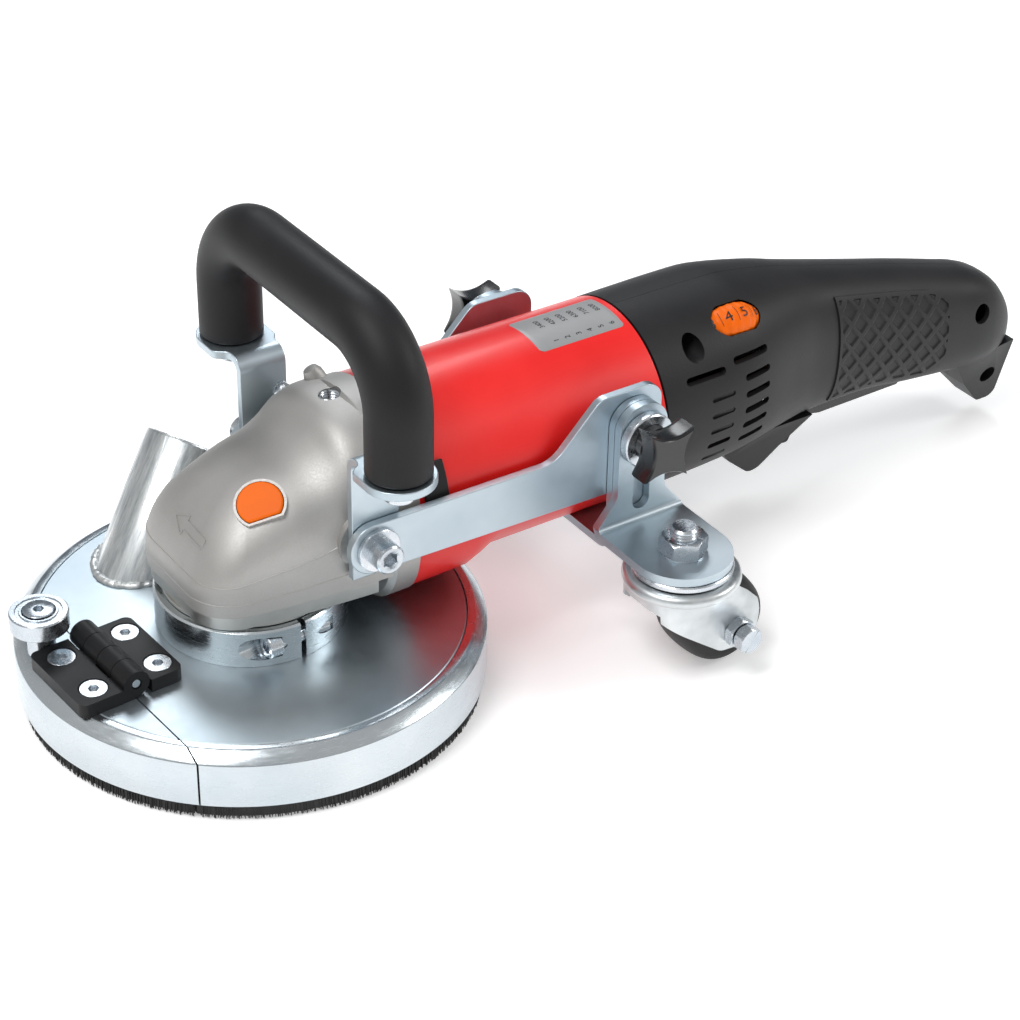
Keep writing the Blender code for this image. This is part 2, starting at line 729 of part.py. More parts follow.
def vent_slots():
    """The cooling slots in the tail's flank: two columns and one long pair above them."""
    slots = []
    for k in range(5):
        z = 94.0 - 8.2 * k
        slots.append(box((231.0, -60.0, z), (246.5, 60.0, z + 3.0)))
        if k < 4:
            slots.append(box((211.0, -60.0, z - 4.0), (224.0, 60.0, z - 1.4)))
    slots.append(box((198.0, -60.0, 101.0), (220.0, 60.0, 104.0)))
    slots.append(box((226.0, -60.0, 104.5), (246.0, 60.0, 107.5)))
    return slots


def tapered(outline, half, spread):
    """A fin under the tail, thinnest at its foot, that widens by spread for each mm it rises."""
    fin = prism(outline, -1.0, 1.0, "Y")
    foot = min(z for x, z in outline)
    for vert in fin.verts:
        vert.co.y *= half + spread * (vert.co.z - foot)
    return fin


def make_tail(black, orange, steel):
    guard = rounded(
        [(236.0, 46.0, 0), (246.0, 33.0, 10), (266.0, 15.5, 6.5), (277.0, 30.0, 6), (292.0, 46.0, 0)],
        5,
    )
    hook = rounded(
        [(388.0, 40.0, 0), (399.0, 24.0, 8), (413.0, 8.5, 5), (424.0, 8.5, 5), (423.0, 46.0, 0)],
        5,
    )
    for word, low, high in (("left", -80.0, -GAP / 2), ("right", GAP / 2, 80.0)):
        half = join(tail_loft(0.0), tapered(guard, 10.0, 0.36), tapered(hook, 7.0, 0.28))
        half = common(half, box((150.0, low, -10.0), (450.0, high, 160.0)))
        well, centre = dial_shape(DIAL_R + 0.7, DIAL_WIDTH / 2 + 0.6)
        half = cut(
            half,
            tail_loft(2.8),
            well,
            box((281.0, -10.5, 20.0), (358.0, 10.5, 56.0)),
            cylinder(5.5, 405.0, 430.0, "X", (0.0, 56.0), 20),
            cylinder(5.2, -60.0, -20.0, "Y", (206.8, 113.6), 20),
            cylinder(5.0, -60.0, -14.0, "Y", (395.0, 70.0), 16),
            cylinder(4.6, -60.0, -6.0, "Y", (413.5, 26.0), 16),
            *vent_slots(),
        )
        to_object(f"tail_shell_{word}", half, black)

    dial, centre = dial_shape(DIAL_R, DIAL_WIDTH / 2)
    to_object("speed_dial", dial, orange, centre)

    px, pz = TRIGGER_PIVOT
    trigger = rounded(
        [
            (298.0, 54.0, 0.0),
            (298.0, 39.0, 3.0),
            (305.0, 37.6, 4.0),
            (px + 3.0, pz - 6.0, 2.0),
            (px + 3.5, pz + 3.5, 2.0),
            (330.0, 54.0, 0.0),
        ],
        4,
    )
    paddle = cut(prism(trigger, -10.0, 10.0, "Y"), cylinder(1.6, -20.0, 20.0, "Y", TRIGGER_PIVOT, 12))
    to_object("trigger", paddle, black, (px, 0.0, pz))
    lx, lz = LOCK_PIVOT
    lever = rounded(
        [(284.0, 24.5, 2), (290.0, 24.0, 2), (295.5, 34.0, 2), (295.0, 40.5, 2), (287.5, 40.0, 2)],
        3,
    )
    to_object("lock_off_lever", prism(lever, -6.0, 6.0, "Y"), black, (lx, 0.0, lz))

    switch = box((262.0, -13.0, 60.0), (318.0, 13.0, 88.0))
    to_object("switch_module", switch, black)
    gland = [(3.6, 404.0), (8.5, 404.0), (8.5, 409.0), (5.2, 409.0), (5.2, 426.0), (3.6, 426.0)]
    to_object("cable_inlet", moved(turned(gland, 20, "X"), (0.0, 0.0, 56.0)), black)


# Bow handle and side arms
def handle_path():
    path = [(HANDLE_X, -HANDLE_Y, HANDLE_FOOT + GAP)]
    centre_y = HANDLE_Y - HANDLE_BEND
    for side in (-1.0, 1.0):
        for k in range(7):
            t = math.radians(15.0 * k)
            t = t if side < 0 else math.pi / 2 - t
            y = side * (centre_y + HANDLE_BEND * math.cos(t))
            path.append((HANDLE_X, y, HANDLE_TOP - HANDLE_BEND + HANDLE_BEND * math.sin(t)))
    path.append((HANDLE_X, HANDLE_Y, HANDLE_FOOT + GAP))
    return path


def bent_strip(corners, thickness, bend, low, high, steps=4):
    """Sheet metal: a line of (y, z) points thickened inwards, its bends rounded, extruded along X."""
    bends = [0.0] + [bend] * (len(corners) - 2) + [0.0]
    outer = rounded([(y, z, radius) for (y, z), radius in zip(corners, bends)], steps)
    inner = []
    for i, point in enumerate(outer):
        before = Vector(outer[max(i - 1, 0)])
        after = Vector(outer[min(i + 1, len(outer) - 1)])
        along = (after - before).normalized()
        inner.append((point[0] - along.y * thickness, point[1] + along.x * thickness))
    return prism(outer + inner[::-1], low, high, "X")


def handle_bracket():
    """An upright plate on the gear head that turns outwards into a foot for the handle."""
    top = HANDLE_FOOT
    outer = -BRACKET_IN
    half = 11.2
    line = [(outer, 66.5), (outer, top), (-HANDLE_Y - 16.0, top)]
    strip = bent_strip(line, BRACKET_T, 7.0, 10.0, 60.0)
    end = -HANDLE_Y - 15.5
    foot = rounded(
        [
            (PLATE_X - half, -30.0, 0.0),
            (PLATE_X - half, -53.0, 4.0),
            (HANDLE_X - 15.5, -57.0, 4.0),
            (HANDLE_X - 15.5, end, 15.3),
            (HANDLE_X + 15.5, end, 15.3),
            (HANDLE_X + 15.5, -57.0, 4.0),
            (PLATE_X + half, -53.0, 4.0),
            (PLATE_X + half, -30.0, 0.0),
        ]
    )
    strip = common(strip, prism(foot, 50.0, 140.0))
    return cut(
        strip,
        cylinder(4.0 + GAP, -70.0, -30.0, "Y", ARM_BOLT, 16),
        cylinder(4.0 + GAP, 110.0, 140.0, centre=(HANDLE_X, -HANDLE_Y), count=16),
    )


def arm_outline():
    return rounded(
        [
            (19.6, 70.6, 11.2),
            (176.0, 67.6, 4.0),
            (176.0, 116.8, 9.0),
            (143.5, 116.8, 9.0),
            (120.0, 93.0, 14.0),
            (19.6, 93.6, 11.2),
        ],
        6,
    )


def side_arm():
    plate = prism(arm_outline(), -ARM_IN - ARM_T, -ARM_IN, "Y")
    return cut(
        plate,
        cylinder(4.0 + GAP, -70.0, -30.0, "Y", ARM_BOLT, 16),
        cylinder(4.0 + GAP, -70.0, -30.0, "Y", (MOUNT_X, KNOB_Z), 16),
    )


def cap_screw(head_r, head_h, shank_r, shank, washer_r=0.0, washer_t=0.0):
    """A socket-head screw along +Z: the head above 0, the shank below it."""
    screw = join(cylinder(head_r, 0.0, head_h, count=24), cylinder(shank_r, -shank, 0.5, count=16))
    if washer_r:
        screw = join(screw, cylinder(washer_r, 0.0, washer_t, count=28))
    return cut(screw, prism(hexagon(head_r * 0.95), head_h * 0.45, head_h + 1.0))


def arm_bolt():
    face = -ARM_IN - ARM_T - GAP
    bolt = cap_screw(6.5, 10.5, 4.0, 22.0, 9.8, 2.2)
    matrix = toward((0.0, -1.0, 0.0))
    return moved(bolt, (ARM_BOLT[0], face, ARM_BOLT[1]), matrix)


def handle_bolt():
    bolt = cap_screw(6.5, 8.0, 4.0, BRACKET_T + GAP * 2)
    matrix = toward((0.0, 0.0, -1.0))
    return moved(bolt, (HANDLE_X, -HANDLE_Y, HANDLE_FOOT - BRACKET_T - GAP), matrix)


def make_handle(black, zinc, steel):
    handle = tube(handle_path(), HANDLE_R)
    for side in (-1.0, 1.0):
        handle = cut(handle, cylinder(4.6, 120.0, 140.0, centre=(HANDLE_X, side * HANDLE_Y), count=16))
    to_object("bow_handle", handle, black)
    both_sides("handle_bracket", handle_bracket, zinc)
    both_sides("handle_bolt", handle_bolt, steel)
    both_sides("side_arm", side_arm, zinc)
    both_sides("arm_bolt", arm_bolt, steel)


# Chassis
def mount_front(half_low):
    """The upright plate's outline in XZ: a round top, straight sides and a flare to the tab."""
    top = MOUNT_TOP
    return rounded(
        [
            (MOUNT_X - half_low, 30.0, 0.0),
            (MOUNT_X + half_low, 30.0, 0.0),
            (MOUNT_X + half_low, TAB_TOP + 1.0, 2.0),
            (MOUNT_X + MOUNT_HALF, TAB_TOP + 13.0, 9.0),
            (MOUNT_X + MOUNT_HALF, top, 11.5),
            (MOUNT_X - MOUNT_HALF, top, 11.5),
            (MOUNT_X - MOUNT_HALF, TAB_TOP + 13.0, 9.0),
            (MOUNT_X - half_low, TAB_TOP + 1.0, 2.0),
        ]
    )


def cross_brace():
    """A U of flat bar under the motor that ties the two arms together."""
    outer = BRACE_IN + BRACE_T
    top = MOUNT_TOP + 5.0
    line = [(-outer, top), (-outer, BRACE_BOTTOM), (outer, BRACE_BOTTOM), (outer, top)]
    strip = bent_strip(line, BRACE_T, 9.0, MOUNT_X - MOUNT_HALF, MOUNT_X + MOUNT_HALF)
    strip = common(strip, prism(mount_front(MOUNT_HALF + 0.01), -80.0, 80.0, "Y"))
    return cut(strip, cylinder(4.0 + GAP, -80.0, 80.0, "Y", (MOUNT_X, KNOB_Z), 16))


def caster_bracket():
    """The slotted upright and the tab that carries the caster."""
    outer = MOUNT_IN + MOUNT_T
    end = 90.0 + TAB_HALF
    line = [(-end, TAB_TOP - MOUNT_T), (-MOUNT_IN, TAB_TOP - MOUNT_T), (-MOUNT_IN, MOUNT_TOP + 5.0)]
    outline = [(y, z) for y, z in line]
    strip = bent_strip(outline[::-1], -MOUNT_T, 6.5, MOUNT_X - TAB_HALF, MOUNT_X + TAB_HALF)
    plan = rounded(
        [
            (MOUNT_X - TAB_HALF, -40.0, 0.0),
            (MOUNT_X - TAB_HALF, -end, TAB_HALF - 0.2),
            (MOUNT_X + TAB_HALF, -end, TAB_HALF - 0.2),
            (MOUNT_X + TAB_HALF, -40.0, 0.0),
        ],
        9,
    )
    strip = common(strip, prism(mount_front(TAB_HALF + 0.01), -130.0, -40.0, "Y"), prism(plan, 20.0, 130.0))
    slot = rounded(
        [
            (MOUNT_X - SLOT_R, SLOT_BOTTOM, SLOT_R - 0.01),
            (MOUNT_X + SLOT_R, SLOT_BOTTOM, SLOT_R - 0.01),
            (MOUNT_X + SLOT_R, SLOT_TOP, SLOT_R - 0.01),
            (MOUNT_X - SLOT_R, SLOT_TOP, SLOT_R - 0.01),
        ]
    )
    return cut(
        strip,
        prism(slot, -outer - 10.0, -MOUNT_IN + 5.0, "Y"),
        cylinder(6.0 + GAP, 40.0, 70.0, centre=(MOUNT_X, -CASTER_Y), count=20),
    )


def star_knob():
    """A four-lobed grip with a boss and a threaded stud."""
    face = -MOUNT_IN - MOUNT_T - GAP
    lobes = []
    for i in range(32):
        t = 2 * math.pi * i / 32
        radius = KNOB_R * (0.73 - 0.27 * math.cos(4 * t))
        lobes.append((MOUNT_X + radius * math.cos(t), KNOB_Z + radius * math.sin(t)))
    grip = prism(lobes, face - 19.0, face - 8.0, "Y")
    boss = cylinder(8.0, face - 9.0, face, "Y", (MOUNT_X, KNOB_Z), 20)
    stud = cylinder(4.0, face - 2.0, -ARM_IN + 0.5, "Y", (MOUNT_X, KNOB_Z), 16)
    return join(grip, boss, stud)


def caster_stud():
    """The caster's fixed half: threaded stud, nut above the tab and bearing race below it."""
    under = TAB_TOP - MOUNT_T - GAP
    profile = [
        (0.0, 42.6),
        (9.0, 42.6),
        (9.0, 44.6),
        (6.0, 44.6),
        (6.0, 49.2),
        (22.5, 49.2),
        (22.5, under),
        (6.0, under),
        (6.0, TAB_TOP + 12.0),
        (5.0, TAB_TOP + 13.0),
        (0.0, TAB_TOP + 13.0),
    ]
    stud = moved(turned(profile, 24), (MOUNT_X, -CASTER_Y, 0.0))
    nut = prism(hexagon(19.0, (MOUNT_X, -CASTER_Y)), TAB_TOP + GAP, TAB_TOP + 10.0)
    return join(stud, nut)


def caster_fork():
    """The caster's turning half: a cup over the bearing, two cheeks and the axle bolt."""
    profile = [
        (6.0 + GAP, 45.0),
        (21.5, 45.0),
        (23.0, 43.0),
        (25.0, 42.6),
        (SWIVEL_R, 44.0),
        (SWIVEL_R, 46.4),
        (SWIVEL_R - 2.4, 48.9),
        (6.0 + GAP, 48.9),
    ]
    fork = turned(profile, 28)
    cheek = rounded(
        [
            (-15.4, 46.0, 0.0),
            (-18.0, 37.0, 4.0),
            (10.0, 13.5, 8.0),
            (24.0, 12.0, 7.0),
            (26.0, 26.0, 6.0),
            (15.4, 46.0, 0.0),
        ],
        3,
    )
    axle = (CASTER_TRAIL, TYRE_R)
    for low, high in ((-20.0, -17.5), (17.5, 20.0)):
        fork = join(fork, prism(cheek, low, high, "Y"))
    return join(
        fork,
        cylinder(3.5, -22.0, 22.0, "Y", axle, 14),
        prism(hexagon(11.0, axle), -31.0, -20.0, "Y"),
        prism(hexagon(11.0, axle), 20.0, 27.0, "Y"),
    )


def caster_wheel():
    half = TYRE_HALF
    profile = [
        (3.5 + GAP, -half - 1.6),
        (7.0, -half - 1.6),
        (7.5, -half + 2.5),
        (12.5, -half + 2.5),
        (13.5, -half),
        (TYRE_R - 5.0, -half),
        (TYRE_R - 1.3, -half + 4.0),
        (TYRE_R, 0.0),
        (TYRE_R - 1.3, half - 4.0),
        (TYRE_R - 5.0, half),
        (13.5, half),
        (12.5, half - 2.5),
        (7.5, half - 2.5),
        (7.0, half + 1.6),
        (3.5 + GAP, half + 1.6),
    ]
    return moved(turned(profile, 24, "Y"), (MOUNT_X + CASTER_TRAIL, -CASTER_Y, TYRE_R))


def make_chassis(zinc, black, steel, rubber):
    to_object("cross_brace", cross_brace(), zinc)
    both_sides("caster_bracket", caster_bracket, zinc)
    knob_at = (MOUNT_X, -MOUNT_IN - MOUNT_T, KNOB_Z)
    both_sides("star_knob", star_knob, black, knob_at)
    both_sides("caster_stud", caster_stud, steel)
    fork_at = (MOUNT_X, -CASTER_Y, 0.0)
    both_sides("caster_fork", lambda: moved(caster_fork(), fork_at), zinc, fork_at)
    wheel_at = (MOUNT_X + CASTER_TRAIL, -CASTER_Y, TYRE_R)
    both_sides("caster_wheel", caster_wheel, rubber, wheel_at)


def main():
    global ROOT
    for old in list(bpy.data.objects):
        bpy.data.objects.remove(old)
    ROOT = bpy.data.objects.new("grinder", None)
    bpy.context.scene.collection.objects.link(ROOT)
    ROOT.location = (SPINDLE_X * MM, 0.0, 0.0)

    zinc = material("zinc_plate", (0.62, 0.68, 0.72), 0.3, 1.0)
    steel = material("bright_steel", (0.6, 0.62, 0.64), 0.3, 1.0)
    cast = material("cast_aluminium", (0.42, 0.40, 0.38), 0.5, 1.0)
    red = material("red_paint", (0.85, 0.02, 0.02), 0.35, 0.0)
    black = material("black_plastic", (0.03, 0.03, 0.033), 0.5, 0.0)
    rubber = material("black_rubber", (0.02, 0.02, 0.02), 0.7, 0.0)
    bristle = material("bristle", (0.0, 0.01, 0.01), 0.9, 0.0)
    orange = material("orange_plastic", (1.0, 0.25, 0.01), 0.4, 0.0)
    grit = material("diamond_grit", (0.25, 0.24, 0.22), 0.8, 0.3)
    copper = material("copper", (0.75, 0.35, 0.2), 0.35, 1.0)

    make_shroud(zinc, black, bristle)
    make_collar(zinc)
    make_hinge(black, steel)
    make_guide_roller(steel)
    make_gear_head(cast, orange)
    make_bearing_flange(cast)
    make_spindle(steel, grit)
    make_motor(red, black, steel, copper)
    make_tail(black, orange, steel)
    make_handle(black, zinc, steel)
    make_chassis(zinc, black, steel, rubber)
    bpy.context.view_layer.update()


main()
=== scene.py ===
"""Looks for the concrete grinder: finely divided copies of the visible pieces, with procedural
materials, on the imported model. Shapes are drawn in millimetres from the foot of the spindle."""

import functools
import math
import random

import bmesh
import bpy
from mathutils import Matrix, Vector, noise
from mathutils.bvhtree import BVHTree


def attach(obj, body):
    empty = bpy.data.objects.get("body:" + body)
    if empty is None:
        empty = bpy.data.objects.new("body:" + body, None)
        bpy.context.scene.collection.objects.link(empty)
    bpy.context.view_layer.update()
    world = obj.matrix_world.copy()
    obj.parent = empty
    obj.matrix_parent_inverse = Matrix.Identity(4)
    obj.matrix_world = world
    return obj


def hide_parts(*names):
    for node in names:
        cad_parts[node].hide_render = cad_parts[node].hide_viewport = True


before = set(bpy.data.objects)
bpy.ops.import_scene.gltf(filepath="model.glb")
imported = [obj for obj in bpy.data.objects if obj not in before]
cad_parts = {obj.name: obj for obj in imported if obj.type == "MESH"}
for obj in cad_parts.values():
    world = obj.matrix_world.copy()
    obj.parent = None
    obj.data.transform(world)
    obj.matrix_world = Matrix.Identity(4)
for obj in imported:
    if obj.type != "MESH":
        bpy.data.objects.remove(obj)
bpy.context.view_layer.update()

MM = 0.001
SPINDLE_X = -162.57
GAP = 0.3
FLAT_ANGLE = math.radians(38)
SHROUD_TURN = Matrix.Rotation(math.radians(3), 4, "Z")
SIDES = (("left", 1), ("right", -1))
random.seed(7)


# Materials
class Nodes:
    """A short way to build a material's node tree."""

    def __init__(self, name):
        self.material = bpy.data.materials.new(name)
        self.material.use_nodes = True
        self.tree = self.material.node_tree
        self.shader = self.tree.nodes["Principled BSDF"]
        coordinates = self.tree.nodes.new("ShaderNodeTexCoord")
        self.place = coordinates.outputs["Object"]

    def add(self, kind, inputs=None, **settings):
        node = self.tree.nodes.new(kind)
        for key, value in settings.items():
            setattr(node, key, value)
        for key, value in (inputs or {}).items():
            self.feed(node.inputs[key], value)
        return node

    def feed(self, socket, value):
        if isinstance(value, bpy.types.NodeSocket):
            self.tree.links.new(value, socket)
        else:
            socket.default_value = value

    def noise(self, scale, detail=3, stretch=None, rough=0.55):
        vector = self.place
        if stretch:
            vector = self.add("ShaderNodeMapping", {"Vector": vector, "Scale": stretch}).outputs[0]
        made = self.add("ShaderNodeTexNoise", {"Vector": vector, "Scale": scale})
        made.inputs["Detail"].default_value = detail
        made.inputs["Roughness"].default_value = rough
        return made.outputs[0]

    def remap(self, value, low, high, start=0.3, end=0.7):
        made = self.add("ShaderNodeMapRange", {"Value": value})
        for key, number in (("From Min", start), ("From Max", end), ("To Min", low), ("To Max", high)):
            made.inputs[key].default_value = number
        return made.outputs[0]

    def tint(self, value, stops):
        ramp = self.add("ShaderNodeValToRGB", {"Fac": value})
        elements = ramp.color_ramp.elements
        while len(elements) < len(stops):
            elements.new(0.5)
        for element, (at, colour) in zip(elements, stops):
            element.position = at
            element.color = (*colour, 1)
        return ramp.outputs[0]

    def bump(self, value, distance, strength=0.5, under=None):
        made = self.add("ShaderNodeBump", {"Height": value})
        made.inputs["Distance"].default_value = distance
        made.inputs["Strength"].default_value = strength
        if under is not None:
            self.feed(made.inputs["Normal"], under)
        return made.outputs[0]

    def set(self, **values):
        for key, value in values.items():
            self.feed(self.shader.inputs[key.replace("_", " ")], value)
        return self


def metal(name, dark, light, rough, grain=(220, None), mottle=28, bumps=0.00003, strength=0.25):
    """Bare or plated metal: broad mottling, a fine grain in its roughness and a slight unevenness."""
    n = Nodes(name)
    broad = n.noise(mottle, 4)
    fine = n.noise(grain[0], 3, grain[1])
    n.set(
        Base_Color=n.tint(
            broad, [(0.3, dark), (0.5, [(a + b) / 2 for a, b in zip(dark, light)]), (0.7, light)],
        ),
        Metallic=1, Roughness=n.remap(fine, rough[0], rough[1]), Normal=n.bump(fine, bumps, strength),
    )
    return n.material


def streaked(name, along):
    """Galvanised tube with bright and dull streaks that run along it."""
    n = Nodes(name)
    turn = Vector(along).to_track_quat("Z", "Y").to_euler()
    lie = n.add("ShaderNodeMapping", {"Vector": n.place, "Rotation": turn, "Scale": (1, 1, 7)})
    lie.vector_type = "TEXTURE"
    streaks = n.add("ShaderNodeTexNoise", {"Vector": lie.outputs[0], "Scale": 260})
    streaks.inputs["Detail"].default_value = 5
    streaks.inputs["Roughness"].default_value = 0.65
    value = streaks.outputs[0]
    n.set(
        Base_Color=n.tint(
            value, [(0.32, (0.30, 0.33, 0.34)), (0.5, (0.58, 0.61, 0.62)), (0.66, (0.86, 0.87, 0.87))],
        ),
        Metallic=1, Roughness=n.remap(value, 0.5, 0.24), Normal=n.bump(value, 0.0004, 0.5),
    )
    return n.material


def moulded(name, dark, light, rough, grain=900, depth=0.00006, strength=0.35, coat=0, shine=0.5):
    """Plastic or rubber: a fine moulded grain, with broad wear in its colour and gloss."""
    n = Nodes(name)
    broad = n.noise(22, 5)
    fine = n.noise(grain, 2)
    n.set(
        Base_Color=n.tint(broad, [(0.32, dark), (0.68, light)]),
        Roughness=n.remap(broad, rough[0], rough[1]), Normal=n.bump(fine, depth, strength),
        Coat_Weight=coat, Coat_Roughness=0.12, Specular_IOR_Level=shine,
    )
    return n.material


def speckled(name, base, chip, rough):
    n = Nodes(name)
    grit = n.add("ShaderNodeTexVoronoi", {"Vector": n.place, "Scale": 1400})
    n.set(
        Base_Color=n.tint(grit.outputs["Distance"], [(0.15, chip), (0.4, base)]), Metallic=0.7,
        Roughness=rough, Normal=n.bump(grit.outputs["Distance"], 0.0003, 0.8),
    )
    return n.material


ZINC = metal(
    "zinc_plate", (0.42, 0.50, 0.56), (0.60, 0.67, 0.71), (0.36, 0.42), (300, None), 12, 0.00001, 0.05,
)
TURNED = metal("turned_zinc", (0.52, 0.58, 0.62), (0.70, 0.74, 0.76), (0.18, 0.30), (150, (1, 1, 9)), 12)
GALVANISED = streaked("galvanised_tube", (0.727, 0.288, 1))
SATIN = metal("satin_flange", (0.50, 0.50, 0.48), (0.62, 0.61, 0.58), (0.30, 0.42), (800, None), 30)
WELD = metal(
    "weld_bead", (0.42, 0.43, 0.43), (0.72, 0.73, 0.72), (0.3, 0.6), (260, None), 90, 0.0008, 0.8,
)
STEEL = metal("bright_steel", (0.48, 0.53, 0.58), (0.70, 0.73, 0.76), (0.2, 0.32), (420, None), 60)
CAST = metal(
    "cast_aluminium", (0.45, 0.44, 0.425), (0.54, 0.53, 0.515), (0.52, 0.64), (1500, None), 18, 0.00008,
    0.5,
)
FORK = metal(
    "dull_zinc", (0.50, 0.53, 0.54), (0.74, 0.77, 0.78), (0.28, 0.5), (240, None), 40, 0.00015, 0.5,
)
RED = moulded(
    "red_plastic", (0.78, 0.008, 0.007), (0.86, 0.014, 0.011), (0.3, 0.4), 700, 0.00003, 0.2, 0.15,
)
BLACK = moulded(
    "black_plastic", (0.009, 0.009, 0.010), (0.014, 0.0135, 0.015), (0.42, 0.54), 1100, 0.0001, 0.5,
    shine=0.34,
)
GLOSSY = moulded(
    "glossy_black", (0.004, 0.004, 0.0045), (0.008, 0.008, 0.009), (0.2, 0.32), 500, 0.00002, 0.2, 0.3,
)
HINGE = moulded(
    "hinge_plastic", (0.004, 0.004, 0.0045), (0.008, 0.008, 0.009), (0.36, 0.5), 1300, 0.0001, 0.4,
    shine=0.3,
)
RUBBER = moulded(
    "grip_rubber", (0.006, 0.006, 0.0065), (0.011, 0.0105, 0.012), (0.44, 0.56), 1500, 0.0001, 0.5,
    shine=0.3,
)
TREAD = moulded(
    "tread", (0.008, 0.008, 0.008), (0.014, 0.014, 0.014), (0.4, 0.6), 600, 0.00012, 0.5, shine=0.4,
)
BRISTLE = moulded("bristle", (0.006, 0.006, 0.006), (0.016, 0.016, 0.016), (0.5, 0.7), 900, 0.0001, 0.4)
ORANGE = moulded(
    "orange_plastic", (0.86, 0.13, 0), (0.92, 0.16, 0), (0.4, 0.5), 700, 0.00002, 0.2, shine=0.2,
)
LABEL = moulded("label_foil", (0.27, 0.275, 0.28), (0.31, 0.315, 0.32), (0.32, 0.4), 400, 0.00002, 0.2)
INK = moulded("ink", (0.008, 0.008, 0.008), (0.014, 0.014, 0.014), (0.5, 0.6))
GRIT = speckled("diamond_grit", (0.10, 0.095, 0.09), (0.42, 0.40, 0.36), 0.6)
CUP = metal("cup_steel", (0.10, 0.10, 0.11), (0.2, 0.2, 0.21), (0.35, 0.55))
COPPER = metal("copper", (0.55, 0.2, 0.1), (0.8, 0.36, 0.2), (0.25, 0.4))


# Shapes, in millimetres
def moved(shape, offset=(0, 0, 0), matrix=None):
    if matrix is not None:
        bmesh.ops.transform(shape, matrix=matrix, verts=shape.verts)
    bmesh.ops.translate(shape, verts=shape.verts, vec=offset)
    return shape


def toward(direction):
    return Vector(direction).to_track_quat("Z", "Y").to_matrix().to_4x4()


def turns(count):
    """Equal steps round a full turn."""
    return [2 * math.pi * k / count for k in range(count)]


def mirrored(shape):
    bmesh.ops.scale(shape, verts=shape.verts, vec=(1, -1, 1))
    bmesh.ops.reverse_faces(shape, faces=shape.faces)
    return shape


def link(thing):
    bpy.context.scene.collection.objects.link(thing)


def face_outwards(shape):
    if shape.calc_volume(signed=True) < 0:
        bmesh.ops.reverse_faces(shape, faces=shape.faces)


def boolean(shape, other, operation):
    pair = []
    for part in (shape, other):
        face_outwards(part)
        mesh = bpy.data.meshes.new("step")
        part.to_mesh(mesh)
        part.free()
        made = bpy.data.objects.new("step", mesh)
        link(made)
        pair.append(made)
    step = pair[0].modifiers.new("step", "BOOLEAN")
    step.operation = operation
    step.object = pair[1]
    result = bmesh.new()
    result.from_object(pair[0], bpy.context.evaluated_depsgraph_get())
    for made in pair:
        mesh = made.data
        bpy.data.objects.remove(made)
        bpy.data.meshes.remove(mesh)
    return result


def cut(shape, *others):
    return functools.reduce(lambda a, b: boolean(a, b, "DIFFERENCE"), others, shape)


def join(shape, *others):
    return functools.reduce(lambda a, b: boolean(a, b, "UNION"), others, shape)


def common(shape, *others):
    return functools.reduce(lambda a, b: boolean(a, b, "INTERSECT"), others, shape)


def merged(shapes):
    """One mesh that holds several shapes as they are."""
    whole = bmesh.new()
    for shape in shapes:
        mesh = bpy.data.meshes.new("step")
        shape.to_mesh(mesh)
        shape.free()
        whole.from_mesh(mesh)
        bpy.data.meshes.remove(mesh)
    return whole


def together(*shapes):
    """One mesh that holds several closed shapes side by side."""
    for shape in shapes:
        face_outwards(shape)
    return merged(shapes)


def box(low, high):
    shape = bmesh.new()
    bmesh.ops.create_cube(shape, size=1)
    for vert in shape.verts:
        vert.co = Vector([low[i] if vert.co[i] < 0 else high[i] for i in range(3)])
    return shape


def skin(rings, closed=False):
    shape = bmesh.new()
    rows = [[shape.verts.new(point) for point in ring] for ring in rings]
    count = len(rows[0])
    pairs = list(zip(rows, rows[1:] + rows[:1])) if closed else list(zip(rows, rows[1:]))
    for here, there in pairs:
        for i in range(count):
            j = (i + 1) % count
            shape.faces.new((here[i], here[j], there[j], there[i]))
    if not closed:
        shape.faces.new(rows[0])
        shape.faces.new(rows[-1])
    bmesh.ops.recalc_face_normals(shape, faces=shape.faces)
    return shape


def prism(outline, low, high, axis="Z"):
    place = {
        "Z": lambda u, v, w: (u, v, w),
        "Y": lambda u, v, w: (u, w, v),
        "X": lambda u, v, w: (w, u, v),
    }[axis]
    return skin([[place(u, v, w) for u, v in outline] for w in (low, high)])


def ring_points(radius, count=96, centre=(0, 0), phase=0):
    angles = [t + phase for t in turns(count)]
    return [(centre[0] + radius * math.cos(t), centre[1] + radius * math.sin(t)) for t in angles]


def cylinder(radius, low, high, axis="Z", centre=(0, 0), count=64):
    return prism(ring_points(radius, count, centre), low, high, axis)


def rounded(corners, steps=10):
    points = []
    for i, (u, v, radius) in enumerate(corners):
        here = Vector((u, v))
        before = (Vector(corners[i - 1][:2]) - here).normalized()
        after = (Vector(corners[(i + 1) % len(corners)][:2]) - here).normalized()
        if radius <= 0:
            points.append((u, v))
            continue
        half = before.angle(after) / 2
        centre = here + (before + after).normalized() * radius / math.sin(half)
        start = here + before * radius / math.tan(half) - centre
        sweep = start.angle_signed(here + after * radius / math.tan(half) - centre)
        for k in range(steps + 1):
            turn = -sweep * k / steps
            c, s = math.cos(turn), math.sin(turn)
            points.append((centre.x + start.x * c - start.y * s, centre.y + start.x * s + start.y * c))
    return points


def turned(profile, count=96, axis="Z"):
    rings = []
    for t in turns(count):
        c, s = math.cos(t), math.sin(t)
        places = {
            "Z": lambda r, h: (r * c, r * s, h),
            "X": lambda r, h: (h, r * c, r * s),
            "Y": lambda r, h: (r * s, h, r * c),
        }
        rings.append([places[axis](r, h) for r, h in profile])
    shape = skin(rings, closed=True)
    bmesh.ops.remove_doubles(shape, verts=shape.verts, dist=0.0005)
    return shape


